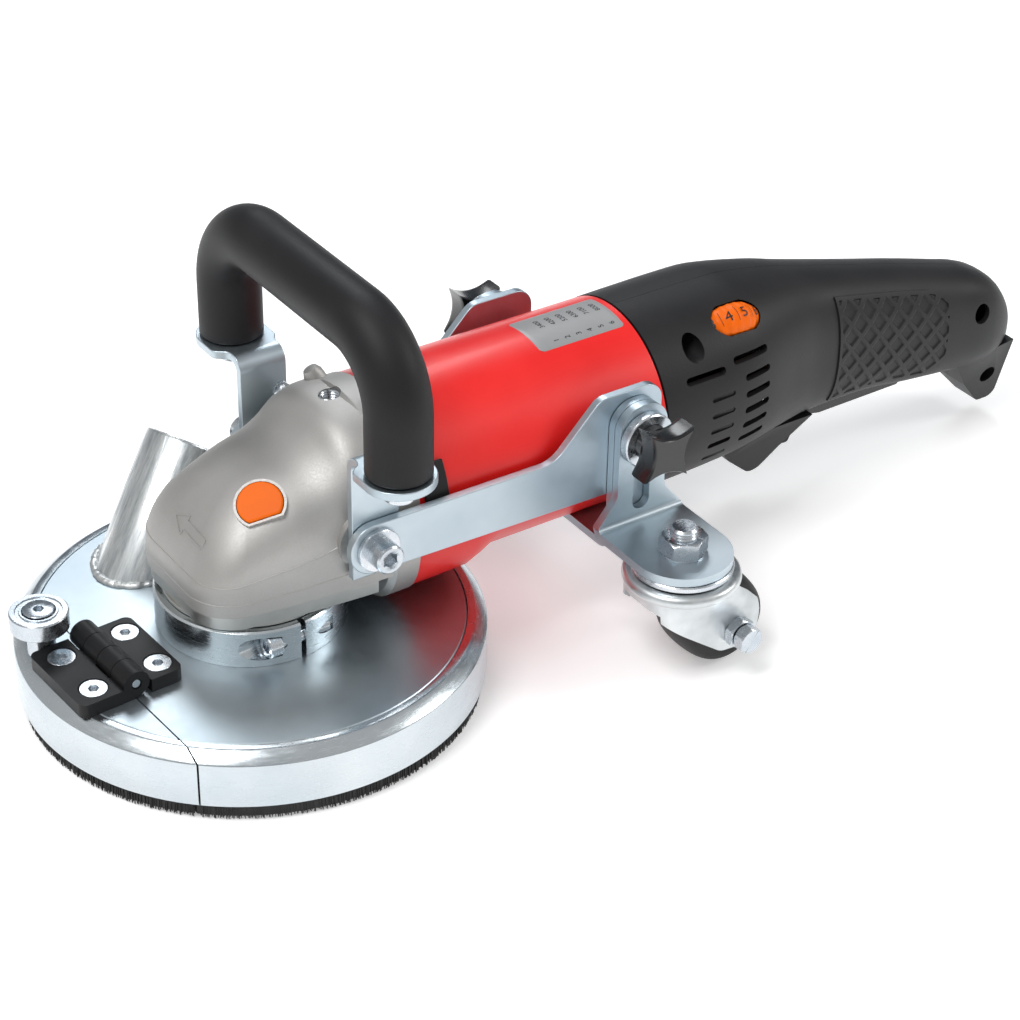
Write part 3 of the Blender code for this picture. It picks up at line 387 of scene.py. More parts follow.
def superellipse(x, centre, half_y, half_z, power, count=120):
    points = []
    for t in turns(count):
        c, s = math.cos(t), math.sin(t)
        y = math.copysign(abs(c) ** (2 / power), c) * half_y
        z = math.copysign(abs(s) ** (2 / power), s) * half_z
        points.append((x, y, centre + z))
    return points


def hexagon(across, centre=(0, 0)):
    return ring_points(across / math.sqrt(3), 6, centre, math.pi / 6)


def smooth_rows(rows, x):
    """Values between table rows (x, a, b, ...), by a curve through the rows."""
    for i in range(len(rows) - 1):
        if x <= rows[i + 1][0]:
            break
    p = [rows[max(i - 1, 0)], rows[i], rows[i + 1], rows[min(i + 2, len(rows) - 1)]]
    t = (x - p[1][0]) / (p[2][0] - p[1][0])
    span = p[2][0] - p[1][0]
    values = []
    for k in range(1, len(p[0])):
        before = (p[2][k] - p[0][k]) / max(p[2][0] - p[0][0], 1e-6) * span
        after = (p[3][k] - p[1][k]) / max(p[3][0] - p[1][0], 1e-6) * span
        a = 2 * p[1][k] - 2 * p[2][k] + before + after
        b = -3 * p[1][k] + 3 * p[2][k] - 2 * before - after
        values.append(a * t**3 + b * t**2 + before * t + p[1][k])
    return values


def piece(name, shape, body, finish, bevel=0, segments=2, node=None):
    """Puts a shape in the scene: it rides on a body, and stands for a CAD node where one is named."""
    face_outwards(shape)
    moved(shape, (SPINDLE_X, 0, 0))
    bmesh.ops.scale(shape, verts=shape.verts, vec=(MM, MM, MM))
    mesh = bpy.data.meshes.new(name)
    shape.to_mesh(mesh)
    shape.free()
    mesh.shade_smooth()
    mesh.set_sharp_from_angle(angle=FLAT_ANGLE)
    mesh.materials.append(finish)
    made = bpy.data.objects.new(name, mesh)
    link(made)
    if bevel:
        rounding = made.modifiers.new("rounding", "BEVEL")
        rounding.width = bevel * MM
        rounding.segments = segments
        rounding.limit_method = "ANGLE"
        rounding.angle_limit = FLAT_ANGLE
        rounding.harden_normals = True
    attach(made, body)
    if node:
        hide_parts(node)


def stand_in(node, shape, body, finish, bevel=0, segments=2):
    """The look of one CAD node."""
    piece(f"{node}_look", shape, body, finish, bevel, segments, node)


def on_shroud(node, shape, body, finish, bevel=0, segments=2):
    """The look of one CAD node on the shroud, which stands turned a little round the spindle."""
    stand_in(node, moved(shape, matrix=SHROUD_TURN), body, finish, bevel, segments)


def both_sides(name, make, body, finish, bevel=0, segments=2, has_node=True):
    """The left piece at -Y as drawn, and the right one as its mirror image."""
    for word, sign in SIDES:
        shape = make() if sign > 0 else mirrored(make())
        home = body if body == "machine" else f"{body}_{word}"
        node = f"{name}_{word}"
        piece(f"{node}_look", shape, home, finish, bevel, segments, node if has_node else None)


# Shroud
SHROUD_R, RING_BOTTOM, DISC_TOP, DISC_R = 101, 7.2, 32.6, 92
RING_SHOULDER = 28.3
SPLIT_X = -71
COLLAR_R, COLLAR_BORE, COLLAR_TOP = 41, 33.5, 50
HINGE_X, HINGE_Y, HINGE_Z, HINGE_HALF = -70.5, -2.9, 39.5, 22.5
BARREL_R, LEAF_TOP = 6, 38.9
SCREW_X, SCREW_Y = 15, 13.2
PORT_BASE = (-18, 61.5, DISC_TOP)
PORT_LEAN = Vector((0.727, 0.288, 1)).normalized()
PORT_R, PORT_WALL, PORT_LENGTH = 20, 2.3, 53
BRUSH_TOP = RING_BOTTOM + 13 - GAP
BRISTLES = 2600


def side_of_split(flap):
    reach = 130
    if flap:
        return box((-reach, -reach, -5), (SPLIT_X - GAP, reach, 60))
    return box((SPLIT_X + GAP, -reach, -5), (reach, reach, 60))


def ring_profile():
    """The rim's section: an upright band, a bevelled shoulder and a seat for the plate."""
    ledge = DISC_TOP - 3 - GAP
    return [
        (SHROUD_R - 0.5, RING_BOTTOM), (SHROUD_R, RING_BOTTOM + 0.5), (SHROUD_R, RING_SHOULDER - 0.5),
        (SHROUD_R - 0.15, RING_SHOULDER - 0.15), (SHROUD_R - 0.5, RING_SHOULDER + 0.2),
        (SHROUD_R - 5, DISC_TOP - 0.25), (SHROUD_R - 5.7, DISC_TOP), (DISC_R + 0.5, DISC_TOP),
        (DISC_R + GAP, DISC_TOP - 0.3), (DISC_R + GAP, ledge), (DISC_R - 3.5, ledge),
        (SHROUD_R - 7.5, ledge - 5), (SHROUD_R - 7.5, RING_BOTTOM), (SHROUD_R - 5, RING_BOTTOM),
        (SHROUD_R - 5, RING_BOTTOM + 13), (SHROUD_R - 1.6, RING_BOTTOM + 13),
        (SHROUD_R - 1.6, RING_BOTTOM),
    ]


def bristles(flap):
    """Thin tapering bristles round the rim, in three rows, leaning a little at random."""
    shape = bmesh.new()
    for i in range(BRISTLES):
        turn = 2 * math.pi * i / BRISTLES + random.uniform(-0.001, 0.001)
        row = SHROUD_R - 4.3 + 1.1 * (i % 3) + random.uniform(-0.1, 0.1)
        lean = random.uniform(-0.9, 0.9)
        x, y = row * math.cos(turn), row * math.sin(turn)
        if (x < SPLIT_X) != flap or abs(x - SPLIT_X) < 1.2:
            continue
        tangent = Vector((-math.sin(turn), math.cos(turn), 0))
        outward = Vector((math.cos(turn), math.sin(turn), 0))
        top = Vector((x, y, BRUSH_TOP))
        low = top + tangent * lean + outward * random.uniform(-0.2, 0.25)
        low.z = random.uniform(0, 0.55) if i % 7 else 0
        rows = []
        for centre, size in ((top, 0.26), (low, 0.17)):
            corners = [(-1, -1), (1, -1), (1, 1), (-1, 1)]
            rows.append(
                [shape.verts.new(centre + (tangent * a + outward * b) * size) for a, b in corners],
            )
        for k in range(4):
            j = (k + 1) % 4
            shape.faces.new((rows[0][k], rows[1][k], rows[1][j], rows[0][j]))
        shape.faces.new(rows[0])
        shape.faces.new(rows[1][::-1])
    return shape


def strip_behind(flap):
    """The dark core of the brush, which keeps light from coming through the bristles."""
    inner, outer, low = SHROUD_R - 4.3, SHROUD_R - 2.4, 1.2
    profile = [(inner, low), (outer, low), (outer, BRUSH_TOP), (inner, BRUSH_TOP)]
    return common(turned(profile, 192), side_of_split(flap))


def port_space(radius, low, high):
    return moved(cylinder(radius, low, high, count=96), PORT_BASE, toward(PORT_LEAN))


def weld_bead():
    """A lumpy bead round the foot of the dust port, where its leaning tube meets the plate."""
    base = Vector(PORT_BASE)
    across = PORT_LEAN.cross(Vector((0, 0, 1))).normalized()
    uphill = Vector((PORT_LEAN.x, PORT_LEAN.y, 0)).normalized()
    reach = PORT_R + 0.4
    rings = []
    for t in turns(260):
        centre = base + across * reach * math.cos(t) + uphill * reach / PORT_LEAN.z * math.sin(t)
        outward = (centre - base).normalized()
        size = 1.9 + 0.12 * math.sin(34 * t) + 0.9 * noise.noise(centre * 0.3)
        ring = []
        for a in turns(10):
            rise = Vector((0, 0, math.sin(a) * size * 0.8 + 0.5))
            ring.append(centre + outward * math.cos(a) * size + rise)
        rings.append(ring)
    return common(skin(rings, closed=True), box((-80, 20, DISC_TOP + 0.05), (60, 110, 60)))


def shroud_plate(flap):
    edge = [(0, DISC_TOP - 3), (DISC_R, DISC_TOP - 3), (DISC_R, DISC_TOP - 0.4), (DISC_R - 0.4, DISC_TOP)]
    plate = common(turned(edge + [(0, DISC_TOP)], 240), side_of_split(flap))
    if flap:
        return plate
    port = moved(port_space(PORT_R - PORT_WALL, -20, 20), matrix=SHROUD_TURN.inverted())
    return cut(plate, cylinder(COLLAR_BORE, 20, 40, count=128), port)


def shroud():
    for flap, body, ring, disc, brush in (
        (False, "shroud", "shroud_ring", "shroud_disc", "brush_main"),
        (True, "flap", "flap_ring", "flap_disc", "flap_brush"),
    ):
        on_shroud(ring, common(turned(ring_profile(), 288), side_of_split(flap)), body, TURNED, 0.2)
        on_shroud(disc, shroud_plate(flap), body, ZINC, 0.15)
        on_shroud(brush, bristles(flap), body, BRISTLE)
        piece(f"{brush}_core", moved(strip_behind(flap), matrix=SHROUD_TURN), body, BRISTLE)


def dust_port():
    bore = PORT_R - PORT_WALL
    lip = [
        (PORT_R, -20), (PORT_R, PORT_LENGTH - 0.8), (PORT_R - 0.5, PORT_LENGTH),
        (bore + 0.5, PORT_LENGTH), (bore, PORT_LENGTH - 0.8), (bore, -20),
    ]
    tube = moved(turned(lip, 160), PORT_BASE, toward(PORT_LEAN))
    below = box((-80, 0, -30), (60, 110, DISC_TOP + 0.05))
    stand_in("dust_port", cut(tube, below), "shroud", GALVANISED)
    piece("port_weld", weld_bead(), "shroud", WELD)


def collar():
    screw_y, screw_z = -37, 41.4
    low = DISC_TOP + 0.1
    ring = [
        (COLLAR_BORE, low), (COLLAR_R, low), (COLLAR_R, COLLAR_TOP - 0.8), (COLLAR_R - 0.8, COLLAR_TOP),
        (COLLAR_BORE + 0.6, COLLAR_TOP), (COLLAR_BORE, COLLAR_TOP - 0.6),
    ]
    ring = cut(
        turned(ring, 192), box((-1.2, -60, low - 1), (1.2, -20, COLLAR_TOP + 1)),
        cylinder(3.3, -15, 17, "X", (screw_y, screw_z), 40),
        cylinder(5.5, -30, -9.7, "X", (screw_y, screw_z), 48),
    )
    on_shroud("shroud_collar", ring, "shroud", TURNED, 0.25)
    head = turned([(0, -10.2), (5, -10.2), (5, -15.4), (4.5, -16), (0, -16)], 48, "X")
    shank = cylinder(3, -10.5, 14, "X", count=36)
    screw = moved(join(head, shank), (0, screw_y, screw_z))
    screw = cut(screw, prism(hexagon(5, (screw_y, screw_z)), -20, -13, "X"))
    on_shroud("collar_screw", screw, "shroud", STEEL, 0.15)


def hinge_leaf(side):
    inner, outer = BARREL_R + 0.8, 22 if side > 0 else 25.5
    near, far = HINGE_Y - HINGE_HALF, HINGE_Y + HINGE_HALF
    corners = [
        (HINGE_X + side * inner, near, 0), (HINGE_X + side * outer, near, 3.5),
        (HINGE_X + side * outer, far, 3.5), (HINGE_X + side * inner, far, 0),
    ]
    leaf = prism(rounded(corners if side > 0 else corners[::-1], 10), DISC_TOP + 0.1, LEAF_TOP)
    for k in (0, 2) if side > 0 else (1, 3):
        high = far - HINGE_HALF / 2 * k - GAP / 2
        low = high - HINGE_HALF / 2 + GAP
        reach = HINGE_X + side * (BARREL_R + 2)
        web = box((min(HINGE_X, reach), low, DISC_TOP + 0.1), (max(HINGE_X, reach), high, LEAF_TOP))
        leaf = join(leaf, cylinder(BARREL_R, low, high, "Y", (HINGE_X, HINGE_Z), 64), web)
    x = HINGE_X + side * SCREW_X
    for y in (HINGE_Y - SCREW_Y, HINGE_Y + SCREW_Y):
        head = [(0, LEAF_TOP + 1), (6.3, LEAF_TOP + 1), (6.3, LEAF_TOP - 0.4), (3.3, LEAF_TOP - 3.4)]
        leaf = cut(leaf, moved(turned(head + [(3.3, 30), (0, 30)], 48), (x, y, 0)))
    return cut(leaf, cylinder(2.3, -60, 60, "Y", (HINGE_X, HINGE_Z), 32))


def hinge_screw(x, y):
    head = [(0, LEAF_TOP - 0.3), (5.7, LEAF_TOP - 0.3), (5.95, LEAF_TOP - 0.55), (5.9, LEAF_TOP - 0.8)]
    head += [(3, LEAF_TOP - 3.7), (3, DISC_TOP + 0.3), (0, DISC_TOP + 0.3)]
    screw = moved(turned(head, 56), (x, y, 0))
    return cut(screw, prism(hexagon(4.2, (x, y)), LEAF_TOP - 2.8, LEAF_TOP + 1))


def hinge():
    on_shroud("hinge_leaf_fixed", hinge_leaf(1), "shroud", HINGE, 0.5, 3)
    on_shroud("hinge_leaf_flap", hinge_leaf(-1), "flap", HINGE, 0.5, 3)
    pin = cylinder(2, HINGE_Y - HINGE_HALF + 0.6, HINGE_Y + HINGE_HALF - 0.6, "Y", (HINGE_X, HINGE_Z), 32)
    on_shroud("hinge_pin", pin, "shroud", STEEL, 0.3)
    for side, word, body in ((1, "fixed", "shroud"), (-1, "flap", "flap")):
        for k, y in enumerate((HINGE_Y - SCREW_Y, HINGE_Y + SCREW_Y), 1):
            on_shroud(
                f"{word}_leaf_screw_{k}", hinge_screw(HINGE_X + side * SCREW_X, y), body, STEEL, 0.15,
            )


def roller():
    x, y, low, high, foot = -86.3, 26, 45.5, 53.5, DISC_TOP + 0.3
    post = [(0, foot), (6, foot), (6, low - GAP), (3.9, low - GAP), (3.9, high - 2.6)]
    post += [(6.6, high + GAP), (6.6, high + 0.6), (6.3, high + 0.8), (0, high + 0.8)]
    screw = cut(moved(turned(post, 64), (x, y, 0)), prism(hexagon(4.2, (x, y)), high - 2.4, high + 3))
    on_shroud("guide_post", screw, "flap", STEEL, 0.15)
    outer = 12.5
    ring = [
        (4.4, low), (8.8, low), (8.9, low + 0.5), (9.8, low + 0.5), (9.9, low), (outer - 0.5, low),
        (outer, low + 0.5), (outer, high - 0.5), (outer - 0.5, high), (9.9, high), (9.8, high - 0.6),
        (8.2, high - 0.6), (8.1, high), (7.2, high), (4.4, high - 2.9),
    ]
    on_shroud("guide_roller", moved(turned(ring, 96), (x, y, 0)), "roller", STEEL, 0.1)


# Gear head
HEAD_BOTTOM, FLANGE_BOTTOM = 58.6, 52
MOTOR_Z, MOTOR_R = 81.5, 45.4
ARM_BOLT = (32.2, 81.8)
BRACKET_IN = 43.5
BUTTON_AT = Vector((-6, -23, 101.5))
BUTTON_AXIS = Vector((-0.36, -0.42, 0.83)).normalized()
RIDGE = [(-38, 80.5), (-30, 91), (-15, 100.5), (2, 107), (16, 111.3)]
RIDGE += [(24, 116.4), (31, 123.2), (38, 125.6), (48, 126), (60, 126)]
HEAD_POWER = 2.5


def head_half_outline(steps=36):
    corner = rounded([(-37.6, 0, 0), (-37.6, 33.5, 21), (-8, 38, 0)], steps)
    rest = [(-8, 38), (4, 39.8), (22, 41.4), (38, 42.7), (48, 43.1)]
    points = corner[:-1]
    for (x0, y0), (x1, y1) in zip(rest, rest[1:]):
        count = max(2, int((x1 - x0) / 1.5))
        points += [(x0 + (x1 - x0) * k / count, y0 + (y1 - y0) * k / count) for k in range(count)]
    return points + [rest[-1]]


def head_point(x, y, q):
    """The pillow's surface over a plan point (x, y) of the outline, q of the way in to the middle."""
    px = x * (1 - q) if x < 0 else x
    rise = (1 - (1 - q) ** HEAD_POWER) ** (1 / HEAD_POWER)
    height = smooth_rows(RIDGE, px)[0] - HEAD_BOTTOM
    wall = 0.34 * height
    return px, y * (1 - q), HEAD_BOTTOM + wall + (height - wall) * rise


def head_shell():
    half = head_half_outline()
    outline = half[::-1] + [(x, -y) for x, y in half[1:]]
    insets = [1 - math.cos(math.radians(90 * k / 26)) for k in range(27)]
    shape = bmesh.new()
    rows = [[shape.verts.new((x, y, HEAD_BOTTOM)) for x, y in outline]]
    for inset in insets:
        rows.append([shape.verts.new(head_point(x, y, inset)) for x, y in outline])
    for here, there in zip(rows, rows[1:]):
        for i in range(len(here) - 1):
            shape.faces.new((here[i], here[i + 1], there[i + 1], there[i]))
    shape.faces.new(rows[0])
    shape.faces.new([row[0] for row in rows] + [row[-1] for row in rows[:-1][::-1]])
    bmesh.ops.remove_doubles(shape, verts=shape.verts, dist=0.01)
    bmesh.ops.dissolve_degenerate(shape, edges=shape.edges, dist=0.001)
    bmesh.ops.recalc_face_normals(shape, faces=shape.faces)
    return shape


def motor_section(x, grow=0, lower_power=2):
    upper = superellipse(x, MOTOR_Z, MOTOR_R + grow, MOTOR_R + grow, 2, 144)
    lower = superellipse(x, MOTOR_Z, MOTOR_R + grow, MOTOR_R + grow, lower_power, 144)
    return [u if u[2] >= MOTOR_Z - 0.001 else v for u, v in zip(upper, lower)]


def d_outline(radius, flat, steps=40):
    """A circle with one side cut flat, the shape of the lock button."""
    reach = math.acos(flat / radius)
    angles = [reach + (2 * math.pi - 2 * reach) * k / steps for k in range(steps + 1)]
    return [(radius * math.cos(t), radius * math.sin(t)) for t in angles]


def button_frame():
    """The lock button's axes: its flat faces down the slope, towards the near side."""
    along = BUTTON_AXIS
    slope = Vector((-0.2, -1, -0.6))
    u = (slope - along * slope.dot(along)).normalized()
    v = along.cross(u)
    return Matrix((u, v, along)).transposed().to_4x4()


def small_screw(at, direction, radius=3.6, height=1.2, drive=2.6):
    """A domed socket screw that stands on a surface."""
    profile = [(0, -3), (radius, -3), (radius, height * 0.5), (radius * 0.8, height), (0, height)]
    screw = cut(turned(profile, 40), prism(hexagon(drive), -0.4, height + 1))
    return moved(screw, at, toward(direction))


def gear_head():
    head = head_shell()
    steps = ((43.5, -1.6), (46, 0.6), (50, 0.6), (56.9, 0.6))
    flange = skin([motor_section(x, grow, 3) for x, grow in steps])
    boss = cylinder(13, -BRACKET_IN + 0.1, BRACKET_IN - 0.1, "Y", ARM_BOLT, 80)
    rim = moved(prism(d_outline(11, 8.2), -6, 0.4), BUTTON_AT, button_frame())
    head = join(head, flange, boss, rim)
    pocket = moved(prism(d_outline(9.9, 7.2), -8, 12), BUTTON_AT, button_frame())
    head = cut(
        head, cylinder(31, 40, 76, count=64), cylinder(14, 8, 80, "X", (0, MOTOR_Z), 48),
        cylinder(40, 48, 80, "X", (0, MOTOR_Z), 96), cylinder(4.3, -60, 60, "Y", ARM_BOLT, 40),
        cylinder(4.6, 112, 130, centre=(42, 1.5), count=48), pocket,
    )
    stand_in("gear_housing", head, "machine", CAST, 0.5, 3)
    button = moved(prism(d_outline(9.6, 6.9), -3.5, 1.4), BUTTON_AT, button_frame())
    stand_in("spindle_lock_button", button, "lock_button", ORANGE, 0.9, 4)


def bearing_flange():
    half = [(x * 0.97, y * 0.97) for x, y in head_half_outline() if x < 40]
    outline = half[::-1] + [(x, -y) for x, y in half[1:]]
    plate = prism(outline, FLANGE_BOTTOM, HEAD_BOTTOM - 0.1)
    plate = join(plate, turned([(9, 34), (33.2, 34), (33.2, 55), (9, 55)], 128))
    plate = cut(plate, cylinder(9, 30, 70, count=48), cylinder(26, 56, 70, count=64))
    spacer = turned([(9, 50.3), (37.5, 50.3), (37.5, 51.95), (9, 51.95)], 96)
    piece("flange_spacer", spacer, "machine", SATIN, 0.3)
    stand_in("bearing_flange", plate, "machine", SATIN, 0.5, 3)


def motor():
    stations = [(57, 0, 3), (72, 0, 3), (86, 0, 2.9), (94, 0, 2.4), (101, 0, 2)]
    stations += [(130, 0, 2), (185, 0, 2)]
    sleeve = skin([motor_section(x, grow, power) for x, grow, power in stations])
    under = box((104, -60, 0), (200, 60, 44.6))
    bore = cylinder(42.2, 50, 200, "X", (0, MOTOR_Z), 128)
    foot = box((50, -60, 0), (200, 60, 47.8))
    sleeve = cut(sleeve, under, cut(bore, foot), box((60, -60, 90), (69, -30, 99)))
    stand_in("motor_housing", sleeve, "machine", RED, 0.6, 3)
    sector = []
    for radius, arc in ((41, range(10, 34, 2)), (47, range(32, 8, -2))):
        for degrees in arc:
            t = math.radians(degrees)
            sector.append((-radius * math.cos(t), MOTOR_Z + radius * math.sin(t)))
    cap = prism(sector, 59.6, 71, "X")
    stand_in("brush_access_cap", cap, "machine", BLACK, 0.6, 3)


# Tail housing
DIAL_AT, DIAL_TILT = Vector((234, -26.6, 118.1)), math.radians(36)
DIAL_R, DIAL_WIDTH, DIAL_PROUD, DIAL_BARREL = 19.5, 14.4, 4.6, 3.9
DIAL_NORMAL = Vector((0, -math.sin(DIAL_TILT), math.cos(DIAL_TILT)))
DIAL_AXLE = Vector((1, 0, 0)).cross(DIAL_NORMAL)
DIAL_CENTRE = DIAL_AT - DIAL_NORMAL * (DIAL_R - DIAL_PROUD)
WELL_AT, CABLE_AT = (206.8, 113.6), (0, 56)
TAIL = [
    # x, top, bottom, half width, power
    (180, 127, 36, 45.4, 2),
    (200, 127, 36.4, 45.4, 2.05),
    (230, 126.8, 38.4, 43.4, 2.2),
    (244, 126.4, 39.6, 40.8, 2.3),
    (272, 121.6, 41.6, 32.2, 2.45),
    (288, 117.4, 42.2, 28.2, 2.45),
    (326, 107.2, 41.6, 24.4, 2.5),
    (357, 99, 37.6, 23, 2.5),
    (385, 90.8, 34.6, 22.2, 2.5),
    (402, 85.4, 33, 21.6, 2.5),
    (413, 78.5, 34.5, 19, 2.45),
    (420.5, 68.5, 38, 14.5, 2.4),
    (424, 61, 43, 8.5, 2.4),
]


def tail_section(x, inset=0, count=120):
    top, bottom, half, power = smooth_rows(TAIL, x)
    return superellipse(x, (top + bottom) / 2, half - inset, (top - bottom) / 2 - inset, power, count)


def tail_loft(inset):
    places = [186, 187.5] + [190 + 4.5 * k for k in range(47)] + [403.5, 406, 409, 412]
    if inset:
        places = [181] + places[1:-2]
    else:
        places += [414.5, 417, 419, 421, 422.5, 423.5, 424]
    return skin([tail_section(x, inset) for x in places])


def tail_skin(x, turn, lift=0):
    """A point on the tail's near side; turn is 0 at the widest part and grows upwards."""
    top, bottom, half, power = smooth_rows(TAIL, x)
    c, s = math.cos(turn), math.sin(turn)
    y = math.copysign(abs(c) ** (2 / power), c) * half
    z = math.copysign(abs(s) ** (2 / power), s) * (top - bottom) / 2
    out = Vector((0, y / half**2, z / ((top - bottom) / 2) ** 2)).normalized()
    return Vector((x, -y, (top + bottom) / 2 + z)) + Vector((0, -out.y, out.z)) * lift


def tail_turn(x, z):
    """The turn at which the tail's near side reaches the height z."""
    top, bottom, _, power = smooth_rows(TAIL, x)
    share = (z - (top + bottom) / 2) / ((top - bottom) / 2)
    share = max(-0.999, min(0.999, share))
    return math.asin(math.copysign(abs(share) ** (power / 2), share))


def slot_cut(low_x, high_x, low_z, high_z, depth_low=-60, depth_high=60):
    radius = (high_z - low_z) / 2 - 0.01
    corners = [
        (low_x, low_z, radius), (high_x, low_z, radius), (high_x, high_z, radius),
        (low_x, high_z, radius),
    ]
    return prism(rounded(corners, 6), depth_low, depth_high, "Y")


def vent_slots():
    slots = []
    for k in range(5):
        z = 94 - 8.2 * k
        slots.append(slot_cut(230.5, 246.5, z, z + 3.2))
    slots.append(slot_cut(210.5, 224, 65.2, 68))
    slots.append(slot_cut(198, 220, 100.8, 104.2))
    slots.append(slot_cut(225, 246, 102.8, 106.2))
    return together(*slots)


def blind_slots():
    """Grooves in the first column that stop short of the inside, near side and far side."""
    grooves = []
    for k in (0, 1, 2, 4):
        z = 94 - 8.2 * k
        for y in (-1, 1):
            near = -tail_skin(217, tail_turn(217, z - 2.8)).y - 1
            grooves.append(
                slot_cut(210.5, 224, z - 4, z - 1.6, min(near * y, 60 * y), max(near * y, 60 * y)),
            )
    return together(*grooves)


def grip_level(x, z, edge, pitch=12.5):
    """How high the grip's pattern stands: a flat frame round a lattice of bars with recessed diamonds."""
    if edge < 0.5:
        return -0.5
    if edge < 2.6:
        return 0.75
    slope = z + 0.25 * x
    u, v = (x + slope) / pitch, (x - slope) / pitch
    inside = min(abs(u - round(u)), abs(v - round(v))) - 0.13
    return 0.75 - 0.75 * min(max(inside / 0.06, 0), 1)


def grip_pad():
    """The textured panel on the near side of the grip."""
    columns, rows = 230, 120
    low_x, high_x, corner = 298, 374, 14
    rings = []
    for i in range(columns + 1):
        x = low_x + (high_x - low_x) * i / columns
        top, bottom = smooth_rows(TAIL, x)[:2]
        high, low = bottom + (top - bottom) * 0.90, bottom + (top - bottom) * 0.13
        if x > high_x - corner:
            swing = (x - high_x + corner) / corner
            drop = corner * (1 - math.sqrt(max(0, 1 - swing * swing)))
            high -= drop * 0.7
            low += drop
        front, rear = [], []
        for j in range(rows + 1):
            z = low + (high - low) * j / rows
            turn = tail_turn(x, z)
            level = grip_level(x, z, min(x - low_x, high_x - x, z - low, high - z))
            front.append(tail_skin(x, turn, level))
            rear.append(tail_skin(x, turn, -1.2))
        rings.append(front + rear[::-1])
    return skin(rings)


def dial_fall(along, half=DIAL_WIDTH / 2):
    """How far the dial's barrel shape has fallen below its middle."""
    return DIAL_BARREL * (along / half) ** 2


def dial_well(radius, half):
    steps = [half * (k / 6 - 1) for k in range(13)]
    rim = [(radius - dial_fall(along, half), along) for along in steps]
    return moved(turned([(0, -half)] + rim + [(0, half)], 96), DIAL_CENTRE, toward(DIAL_AXLE))


def dial_turned_to(across, along, height):
    """A point over the dial's rim: across runs round it from its top, along follows its axle."""
    height -= dial_fall(along)
    turn = across / DIAL_R
    out = DIAL_NORMAL * math.cos(turn) + Vector((1, 0, 0)) * math.sin(turn)
    return DIAL_CENTRE + out * height + DIAL_AXLE * along


def lettering(text, size):
    """Flat text as a mesh, with its middle at the origin."""
    font = bpy.data.curves.new("text", "FONT")
    font.body = text
    font.size = size
    font.align_x = "CENTER"
    font.align_y = "CENTER"
    font.resolution_u = 6
    holder = bpy.data.objects.new("text", font)
    bpy.context.scene.collection.objects.link(holder)
    graph = bpy.context.evaluated_depsgraph_get()
    shape = bmesh.new()
    mesh = holder.evaluated_get(graph).to_mesh()
    shape.from_mesh(mesh)
    holder.evaluated_get(graph).to_mesh_clear()
    bpy.data.objects.remove(holder)
    bpy.data.curves.remove(font)
    bmesh.ops.subdivide_edges(shape, edges=[e for e in shape.edges if e.calc_length() > 1.5], cuts=2)
    bmesh.ops.triangulate(shape, faces=shape.faces)
    return shape


def dial_wheel():
    """A barrel-shaped wheel with a finely ribbed rim."""
    last = 16
    rings = []
    for k in range(last + 1):
        along = DIAL_WIDTH * (k / last - 0.5)
        mean = DIAL_R - 0.25 - dial_fall(along) - (0.4 if k in (0, last) else 0)
        rim = [(mean + 0.25 * math.cos(24 * t), t) for t in turns(192)]
        rings.append([(r * math.cos(t), r * math.sin(t), along) for r, t in rim])
    return moved(skin(rings), DIAL_CENTRE, toward(DIAL_AXLE))


def dial_digits():
    pitch = 8.6
    marks = []
    for digit in range(1, 7):
        shape = lettering(str(digit), 7)
        for vert in shape.verts:
            across = vert.co.x * 1.1 + (digit - 4.5) * pitch - 0.6
            vert.co = dial_turned_to(across, -vert.co.y, DIAL_R + 0.08)
        marks.append(shape)
    for k in range(1, 6):
        tick = bmesh.new()
        bmesh.ops.create_grid(tick, x_segments=1, y_segments=4, size=1)
        for vert in tick.verts:
            across = vert.co.x * 0.13 + (k - 3.5) * pitch + 4
            vert.co = dial_turned_to(across, vert.co.y * 3.6 - 0.6, DIAL_R + 0.1)
        marks.append(tick)
    return merged(marks)


def tapered(outline, half, spread):
    """A fin under the tail, thinnest at its foot, that widens by spread for each mm it rises."""
    fin = prism(outline, -1, 1, "Y")
    foot = min(z for _, z in outline)
    for vert in fin.verts:
        vert.co.y *= half + spread * (vert.co.z - foot)
    return fin


def tail_shell(low, high):
    """The half of the tail between two places along Y."""
    guard = [(236, 46, 0), (246, 33, 10), (266, 15.5, 6.5), (277, 30, 6), (292, 46, 0)]
    hook = [(388, 40, 0), (399, 24, 8), (413, 8.5, 5), (424, 8.5, 5), (423, 46, 0)]
    shell = join(tail_loft(0), tapered(rounded(guard, 12), 10, 0.36), tapered(rounded(hook, 12), 7, 0.28))
    shell = common(shell, box((150, low, -10), (450, high, 160)))
    return cut(
        shell, tail_loft(2.8), dial_well(DIAL_R + 0.7, DIAL_WIDTH / 2 + 0.6),
        box((281, -10.5, 20), (358, 10.5, 56)), cylinder(5.5, 405, 430, "X", CABLE_AT, 48),
        cylinder(5.2, -60, -20, "Y", WELL_AT, 56), cylinder(5, -60, -14, "Y", (395, 70), 48),
        cylinder(4.6, -60, -6, "Y", (413.5, 26), 48), vent_slots(), blind_slots(),
    )


def screw_well():
    """The blind cup behind the screw's hole in the tail."""
    well = [(0, -18), (6.4, -18), (6.4, -50), (5.15, -50), (5.15, -20), (0, -20)]
    return common(moved(turned(well, 64, "Y"), (WELL_AT[0], 0, WELL_AT[1])), tail_loft(0.4))


